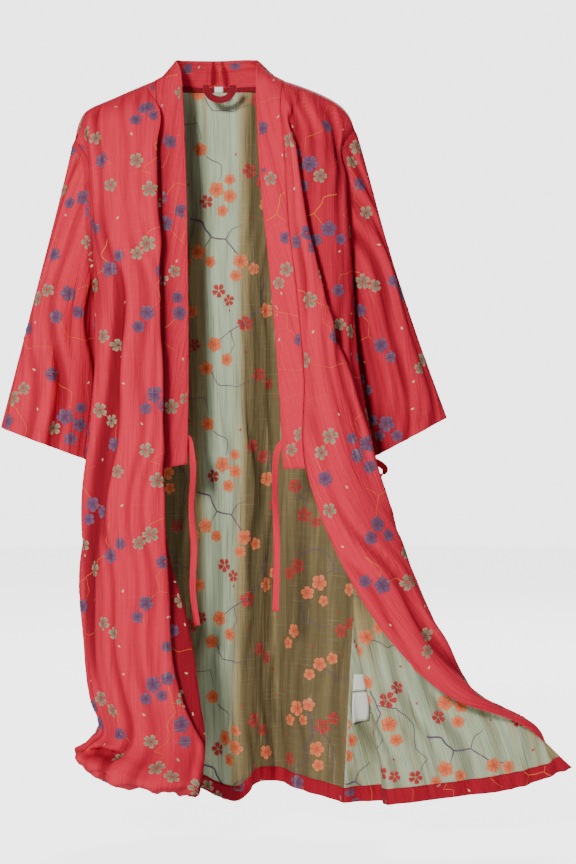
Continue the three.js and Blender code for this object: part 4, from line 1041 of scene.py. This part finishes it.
def full_blossom(flat, x, y, size, turn, dye, line):
    """Five round lobes joined in one flower, with darker lines between them."""
    outer, inner = (1.0, 0.95, 0.76, 0.95), (0.5, 0.52, 0.42, 0.52)
    points, dyes = [(x, y, 0)], [line]
    for radii, tints in ((inner, (0.55, 0.05, 1, 0.05)), (outer, (0.1, 0, 0.45, 0))):
        for k in range(20):
            angle = turn + k * math.tau / 20
            r = size * radii[k % 4]
            points.append((x + r * math.cos(angle), y + r * math.sin(angle), 0))
            dyes.append(mixed(dye, line, tints[k % 4]))
    faces = [(0, 1 + k, 1 + (k + 1) % 20) for k in range(20)]
    faces += [(1 + k, 21 + k, 21 + (k + 1) % 20, 1 + (k + 1) % 20) for k in range(20)]
    flat.add(points, dyes, faces)


def open_blossom(flat, x, y, size, turn, dye, line):
    """Five petals that stand apart, each with a darker vein."""
    for petal in range(5):
        angle = turn + petal * math.tau / 5
        way, side = (math.cos(angle), math.sin(angle)), (-math.sin(angle), math.cos(angle))
        points, dyes = [], []
        for reach, half, tint in ((0.14, 0.06, 1), (0.46, 0.27, 0.75), (0.78, 0.36, 0.3), (1.0, 0.17, 0.0)):
            for across in (-1, 0, 1):
                dip = 0.07 if across == 0 and reach == 1.0 else 0
                r, w = size * (reach - dip), size * half * across
                points.append((x + way[0] * r + side[0] * w, y + way[1] * r + side[1] * w, 0))
                dyes.append(mixed(dye, line, tint if across == 0 else tint * 0.25))
        cells = [(a, a + 3, a + 4, a + 1) for a in (0, 1, 3, 4, 6, 7)]
        flat.add(points, dyes, cells)


def twig(flat, path, width, dye):
    """A crooked twig that thins towards its tip."""
    path = np.array(path, float)
    lengths = np.concatenate([[0], np.cumsum(np.linalg.norm(np.diff(path, axis=0), axis=1))])
    at = np.linspace(0, lengths[-1], int(lengths[-1] / 3.5) + 2)
    line = np.stack([np.interp(at, lengths, path[:, k]) for k in (0, 1)], -1)
    line[:, 0] += 0.7 * np.sin(at / 4.1 + path[0, 0])
    line[:, 1] += 0.7 * np.cos(at / 5.3 + path[0, 1])
    way = np.gradient(line, axis=0)
    way /= np.linalg.norm(way, axis=1, keepdims=True)
    side = np.stack([-way[:, 1], way[:, 0]], -1) * (width / 2 * (1 - 0.62 * at / lengths[-1]))[:, None]
    points = [(*p, -0.12) for pair in zip(line - side, line + side) for p in pair]
    flat.add(points, [dye] * len(points), [(2 * k, 2 * k + 2, 2 * k + 3, 2 * k + 1) for k in range(len(line) - 1)])


def petal(flat, x, y, turn, dye):
    way, side = (math.cos(turn), math.sin(turn)), (-math.sin(turn), math.cos(turn))
    outline = ((-3, 0), (-1, -1.3), (1.4, -1.5), (3, 0), (1.4, 1.5), (-1, 1.3))
    points = [(x + way[0] * a + side[0] * b, y + way[1] * a + side[1] * b, 0) for a, b in outline]
    flat.add(points, [dye] * 6, [(0, 1, 2, 5), (5, 2, 3, 4)])


def woven_design(name, colours):
    flat = Flat()
    for row in TWIGS:
        twig(flat, row["path"], row["width"] * colours["slim"], colours["twig"])
    for row in BLOSSOMS:
        make = full_blossom if row["kind"] == "full" else open_blossom
        make(flat, row["x"], row["y"], row["size"], row["turn"], colours[row["kind"]], colours[row["kind"] + "_line"])
    for row in PETALS:
        petal(flat, row["x"], row["y"], row["turn"], colours["petal"])
    return new_object(name, flat.mesh(name))


DESIGN = {"outside": woven_design("outside_design", OUTSIDE), "inside": woven_design("inside_design", INSIDE)}
MOTIF = gauze("woven motif", "dye", (96, 60, 60), (214, 196, 180), 0.16)


def wrapping_tree():
    """Instances a flat design on a grid of points and wraps it round a cloth by the cloth's own cut map."""
    tree = bpy.data.node_groups.new("wrap design on cloth", "GeometryNodeTree")
    inputs = {"Geometry": "Geometry", "Design": "Object", "Cloth": "Object"}
    inputs |= {"Stand": "Float", "Flip": "Bool", "Finish": "Material"}
    given, out = ends(tree, inputs, {"Geometry": "Geometry"})
    design, cloth = (
        add(tree, "GeometryNodeObjectInfo", {"Object": given[name]}).outputs["Geometry"] for name in ("Design", "Cloth")
    )
    place = add(tree, "GeometryNodeInputPosition").outputs[0]
    spread = add(tree, "GeometryNodeInstanceOnPoints", {"Points": given["Geometry"], "Instance": design})
    real = add(tree, "GeometryNodeRealizeInstances", {0: spread.outputs[0]})
    flipped = add(tree, "GeometryNodeFlipFaces", {"Mesh": real.outputs[0], "Selection": given["Flip"]})
    into = {"Geometry": flipped.outputs[0], "Name": "cut", "Value": place}
    laid = add(tree, "GeometryNodeStoreNamedAttribute", into, data_type="FLOAT2", domain="CORNER")

    def named(name):
        node = add(tree, "GeometryNodeInputNamedAttribute", {"Name": name}, data_type="FLOAT_VECTOR")
        return node.outputs["Attribute"]

    def on_cloth_at(value):
        into = {"Mesh": cloth, "Value": value, "UV Map": named("cut"), "Sample UV": place}
        return add(tree, "GeometryNodeSampleUVSurface", into, data_type="FLOAT_VECTOR").outputs

    spot, way = on_cloth_at(place), on_cloth_at(named("outward"))
    layer = add(tree, "ShaderNodeSeparateXYZ", {0: place}).outputs["Z"]
    lift = maths(tree, "MULTIPLY_ADD", layer, maths(tree, "SIGN", given["Stand"]), given["Stand"])
    rise = add(tree, "ShaderNodeVectorMath", {0: way["Value"], "Scale": lift}, operation="SCALE")
    lifted = add(tree, "ShaderNodeVectorMath", {0: spot["Value"], 1: rise.outputs[0]}, operation="ADD").outputs[0]
    missing = add(tree, "FunctionNodeBooleanMath", {0: spot["Is Valid"]}, operation="NOT").outputs[0]
    shape, held = laid.outputs[0], {}
    for name, kind, value in (("Spot", "VECTOR", lifted), ("Missing", "BOOLEAN", missing)):
        hold = tree.nodes.new("GeometryNodeCaptureAttribute")
        hold.capture_items.new(kind, name)
        feed(tree, hold, {"Geometry": shape, name: value})
        shape, held[name] = hold.outputs["Geometry"], hold.outputs[name]
    kept = add(tree, "GeometryNodeDeleteGeometry", {"Geometry": shape, "Selection": held["Missing"]})
    moved = add(tree, "GeometryNodeSetPosition", {"Geometry": kept.outputs[0], "Position": held["Spot"]})
    done = add(tree, "GeometryNodeSetMaterial", {"Geometry": moved.outputs[0], "Material": given["Finish"]})
    feed(tree, out, {"Geometry": done.outputs[0]})
    return tree


WRAP = wrapping_tree()


def evaluated(thing, tree, **values):
    """The object's mesh as a node tree makes it, with the modifier taken off again."""
    modifier = thing.modifiers.new("made", "NODES")
    modifier.node_group = tree
    for socket in tree.interface.items_tree:
        if socket.in_out == "INPUT" and socket.name in values:
            modifier[socket.identifier] = values[socket.name]
    graph = bpy.context.evaluated_depsgraph_get()
    mesh = bpy.data.meshes.new_from_object(thing.evaluated_get(graph), preserve_all_data_layers=True, depsgraph=graph)
    thing.modifiers.remove(modifier)
    thing.data = mesh
    return thing


def single_layer(points, normals, cut):
    """The cloth as one layer of faces that carries its cut map and its outward way, to wrap a design by."""
    faces = quads(np.arange(cut[..., 0].size).reshape(cut.shape[:2]))
    mesh = bpy.data.meshes.new("layer")
    mesh.from_pydata((points.reshape(-1, 3) * MM).tolist(), [], faces.tolist())
    mesh.uv_layers.new(name="cut").data.foreach_set("uv", cut.reshape(-1, 2)[faces].astype(np.float32).ravel())
    store(mesh, "outward", "FLOAT_VECTOR", "vector", normals)
    return new_object("layer", mesh)


def weave_in(name, points, normals, cut, side, stand, sign, shift):
    """Wraps one side's design round a cloth: stand is the height over the middle of the cloth."""
    width, height = (size * MM for size in REPEAT)
    low, high = cut.reshape(-1, 2).min(0), cut.reshape(-1, 2).max(0)
    origins = [
        (shift[0] * MM + i * width, shift[1] * MM + j * height, 0)
        for i in range(int((low[0] - shift[0] * MM) // width) - 1, int((high[0] - shift[0] * MM) // width) + 2)
        for j in range(int((low[1] - shift[1] * MM) // height) - 1, int((high[1] - shift[1] * MM) // height) + 2)
    ]
    grid = bpy.data.meshes.new(name)
    grid.from_pydata(origins, [], [])
    motif = new_object(name, grid)
    layer = single_layer(points, normals, cut)
    evaluated(motif, WRAP, Design=DESIGN[side], Cloth=layer, Stand=stand * MM, Flip=sign * stand < 0, Finish=MOTIF)
    bpy.data.objects.remove(layer)
    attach(motif, "root")
    return motif


STAND = CLOTH / 2 + 0.7
BAND_STAND = BAND / 2 + 0.45
SHIFTS = {
    "back": (118, 66),
    "front_right": (22, 10),
    "front_left": (150, 40),
    "sleeve_right": (60, 250),
    "sleeve_left": (210, 320),
}
on_cloth = {node: [] for node in list(panels) + ["collar"]}
for node, (grid, normals, cut, sign) in cloths.items():
    for side, stand in (("outside", STAND), ("inside", -STAND)):
        motifs = weave_in(f"{node}_motifs_{side}", grid, normals, cut, side, stand, sign, SHIFTS[node])
        on_cloth[node].append(motifs)
FREE_EDGE = 22  # the collar's columns from here on turn round its free edge
shown_band = [grid[:, :FREE_EDGE] for grid in (collar, collar_out, collar_cut)]
for word, stand in (("outside", BAND_STAND), ("inside", -BAND_STAND)):
    on_cloth["collar"].append(weave_in(f"collar_motifs_{word}", *shown_band, "outside", stand, 1, (40, 30)))
for node, shift in (("back", (10, 300)), ("front_left", (250, 120))):
    hem = [grid[hem_rows] for grid in cloths[node][:3]]
    on_cloth[node].append(weave_in(f"{node}_hem_motifs", *hem, "outside", skin - TURNED - 0.4, 1, shift))
for design in DESIGN.values():
    bpy.data.objects.remove(design)

# ---------------------------------------------------------------------------
# The stitching: single rows of lockstitch that hold the turned hems, the cuffs and the collar band, and two
# rows round the hanging loop. Each stitch is a short thread lying on the cloth, end to end with the next.

STITCH = dict(length=2.6, width=0.55, height=0.4, pitch=3.4)
CORAL_THREAD = gauze("coral thread", (176, 30, 44), (138, 20, 34), (214, 72, 82), 0.1, bump=0.2, roughness=0.6)
MAROON_THREAD = gauze("maroon thread", (168, 62, 70), (130, 40, 50), (196, 96, 100), 0.1, bump=0.2, roughness=0.6)


def one_stitch():
    """A thread's hump: a long box drawn in at its ends."""
    half, wide, high = (STITCH[k] / 2 * MM for k in ("length", "width", "height"))
    rings = [(-half, 0.35), (-half * 0.5, 1.0), (half * 0.5, 1.0), (half, 0.35)]
    corners = ((-1, -1), (1, -1), (1, 1), (-1, 1))
    points = [(x, y * wide * r, z * high * (r if z > 0 else 1)) for x, r in rings for y, z in corners]
    walls = [(4 * k + a, 4 * k + (a + 1) % 4) for k in range(3) for a in range(4)]
    faces = [(first, second, second + 4, first + 4) for first, second in walls]
    mesh = bpy.data.meshes.new("stitch")
    mesh.from_pydata(points, [], [(3, 2, 1, 0)] + faces + [(12, 13, 14, 15)])
    return new_object("stitch", mesh)


def sewing_tree():
    """Lays a stitch at every step along a line, along it and flat on the cloth."""
    tree = bpy.data.node_groups.new("sew along a line", "GeometryNodeTree")
    inputs = {"Geometry": "Geometry", "Stitch": "Object", "Pitch": "Float", "Finish": "Material"}
    given, out = ends(tree, inputs, {"Geometry": "Geometry"})
    curve = add(tree, "GeometryNodeMeshToCurve", {0: given["Geometry"]}).outputs[0]
    steps = add(tree, "GeometryNodeResampleCurve", {"Curve": curve, "Length": given["Pitch"]}, mode="LENGTH")
    points = add(tree, "GeometryNodeCurveToPoints", {"Curve": steps.outputs[0]}, mode="EVALUATED").outputs
    up = add(tree, "GeometryNodeInputNamedAttribute", {"Name": "outward"}, data_type="FLOAT_VECTOR")
    lie = add(tree, "FunctionNodeAlignRotationToVector", {"Vector": points["Tangent"]}, axis="X")
    into = {"Rotation": lie.outputs[0], "Vector": up.outputs["Attribute"]}
    stand = add(tree, "FunctionNodeAlignRotationToVector", into, axis="Z", pivot_axis="X")
    stitch = add(tree, "GeometryNodeObjectInfo", {"Object": given["Stitch"]}).outputs["Geometry"]
    into = {"Points": points["Points"], "Instance": stitch, "Rotation": stand.outputs[0]}
    real = add(tree, "GeometryNodeRealizeInstances", {0: add(tree, "GeometryNodeInstanceOnPoints", into).outputs[0]})
    done = add(tree, "GeometryNodeSetMaterial", {"Geometry": real.outputs[0], "Material": given["Finish"]})
    feed(tree, out, {"Geometry": done.outputs[0]})
    return tree


SEWING, ONE_STITCH = sewing_tree(), one_stitch()


def sew(name, lines, thread):
    """Sews along lines of (points, ways out of the cloth), both in millimetres, and returns the stitches."""
    points = np.concatenate([line for line, _ in lines])
    ways = np.concatenate([np.broadcast_to(way, line.shape) for line, way in lines])
    starts = np.cumsum([0] + [len(line) for line, _ in lines])
    edges = [(k, k + 1) for a, b in zip(starts[:-1], starts[1:]) for k in range(a, b - 1)]
    mesh = bpy.data.meshes.new(name)
    mesh.from_pydata((points * MM).tolist(), edges, [])
    store(mesh, "outward", "FLOAT_VECTOR", "vector", ways)
    stitches = evaluated(new_object(name, mesh), SEWING, Stitch=ONE_STITCH, Pitch=STITCH["pitch"] * MM, Finish=thread)
    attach(stitches, "root")
    return stitches


def thread_line(points, normals, stand):
    """A line of points moved to stand over the middle of the cloth, on its outside or its inside."""
    way = normals * np.sign(stand)
    return points + way * abs(stand), way


BOTH_SIDES = (CLOTH / 2 + STITCH["height"] * 0.2, skin - TURNED - STITCH["height"] * 0.2)
stitch_row = int(np.argmin(np.abs(DOWN - (LENGTH - HEM_TURN + 4))))
cuff_row = int(np.argmin(np.abs(SLEEVE_ALONG - CUFF_SEWN)))
for node, (grid, normals, _, _) in cloths.items():
    row = cuff_row if node.startswith("sleeve") else stitch_row
    name = f"{node[7:]}_cuff_stitches" if node.startswith("sleeve") else f"{node}_hem_stitches"
    columns = slice(hem_columns.get(node))
    lines = [thread_line(grid[row, columns], normals[row, columns], stand) for stand in BOTH_SIDES]
    on_cloth[node].append(sew(name, lines, CORAL_THREAD))
band_sides = (BAND / 2 + 0.1, -BAND / 2 - 0.1)
band_lines = [
    thread_line(collar[:, column], collar_out[:, column], stand)
    for column in (1, FREE_EDGE - 2)
    for stand in band_sides
]
on_cloth["collar"].append(sew("band_stitches", band_lines, CORAL_THREAD))
loop_lines = []
for column in (1, -2):
    way = hang_normals[:, column] * np.sign(-hang_normals[:, column, 1:2])
    loop_lines.append((hang_points[:, column] + way * (TAPE / 2 + 0.05), way))
loop_stitches = sew("hanger_loop_stitches", loop_lines, MAROON_THREAD)
bpy.data.objects.remove(ONE_STITCH)

# ---------------------------------------------------------------------------
# Each turned hem's and cuff's grid, closed into a ring where its cut has one more column than its points.


for node, (points, cut) in edges.items():
    grid = points if points.shape[1] == cut.shape[1] else ringed(points)

# ---------------------------------------------------------------------------
# Camera, light and floor: a soft lamp from the front left, a wider one behind for the back, a pale round floor
# and a white studio. Floor and studio look bright to the camera and light the robe only a little.

camera = bpy.data.cameras.new("camera")
camera.lens = 88.4
camera.sensor_width = 36
view = new_object("camera", camera)
view.location = (0.117, -3.5, -0.573)
view.rotation_euler = (math.pi / 2, 0, 0)
bpy.context.scene.camera = view

FLOOR, FLOOR_RADIUS, FLOOR_SIDES = -1.245, 9, 64
floor_mesh = bpy.data.meshes.new("floor")
turns_round = [k * math.tau / FLOOR_SIDES for k in range(FLOOR_SIDES)]
rim = [(FLOOR_RADIUS * math.cos(turn), FLOOR_RADIUS * math.sin(turn), FLOOR) for turn in turns_round]
floor_mesh.from_pydata(rim, [], [tuple(range(FLOOR_SIDES))])
floor = new_object("floor", floor_mesh)
pale = bpy.data.materials.new("pale floor")
pale.use_nodes = True
plain = pale.node_tree.nodes["Principled BSDF"]
plain.inputs["Base Color"].default_value = (0.8, 0.8, 0.8, 1)
plain.inputs["Roughness"].default_value = 0.9
plain.inputs["Emission Strength"].default_value = 3.0
seen = pale.node_tree.nodes.new("ShaderNodeLightPath").outputs["Is Camera Ray"]
glow = blend_colour(pale.node_tree, seen, (0.1, 0.1, 0.1, 1), (1, 1, 1, 1))
pale.node_tree.links.new(glow, plain.inputs["Emission Color"])
floor_mesh.materials.append(pale)


def lamp(name, place, target, size, power):
    light = bpy.data.lights.new(name, "AREA")
    light.shape = "RECTANGLE"
    light.size, light.size_y = size
    light.energy = power
    made = new_object(name, light)
    made.location = place
    made.rotation_euler = (Vector(target) - Vector(place)).to_track_quat("-Z", "Y").to_euler()


lamp("key", (-0.9, -3.3, 0.5), (0.0, 0, -0.6), (0.5, 0.5), 135)
lamp("behind", (0.9, 3.6, 2.2), (0.0, 0, -0.6), (1.6, 1.6), 190)
world = bpy.data.worlds.new("studio")
world.use_nodes = True
sky = world.node_tree.nodes["Background"]
seen = world.node_tree.nodes.new("ShaderNodeLightPath").outputs["Is Camera Ray"]
air = blend_colour(world.node_tree, seen, (0.028, 0.028, 0.03, 1), (1, 1, 1, 1))
world.node_tree.links.new(air, sky.inputs["Color"])
sky.inputs["Strength"].default_value = 3.4
bpy.context.scene.world = world
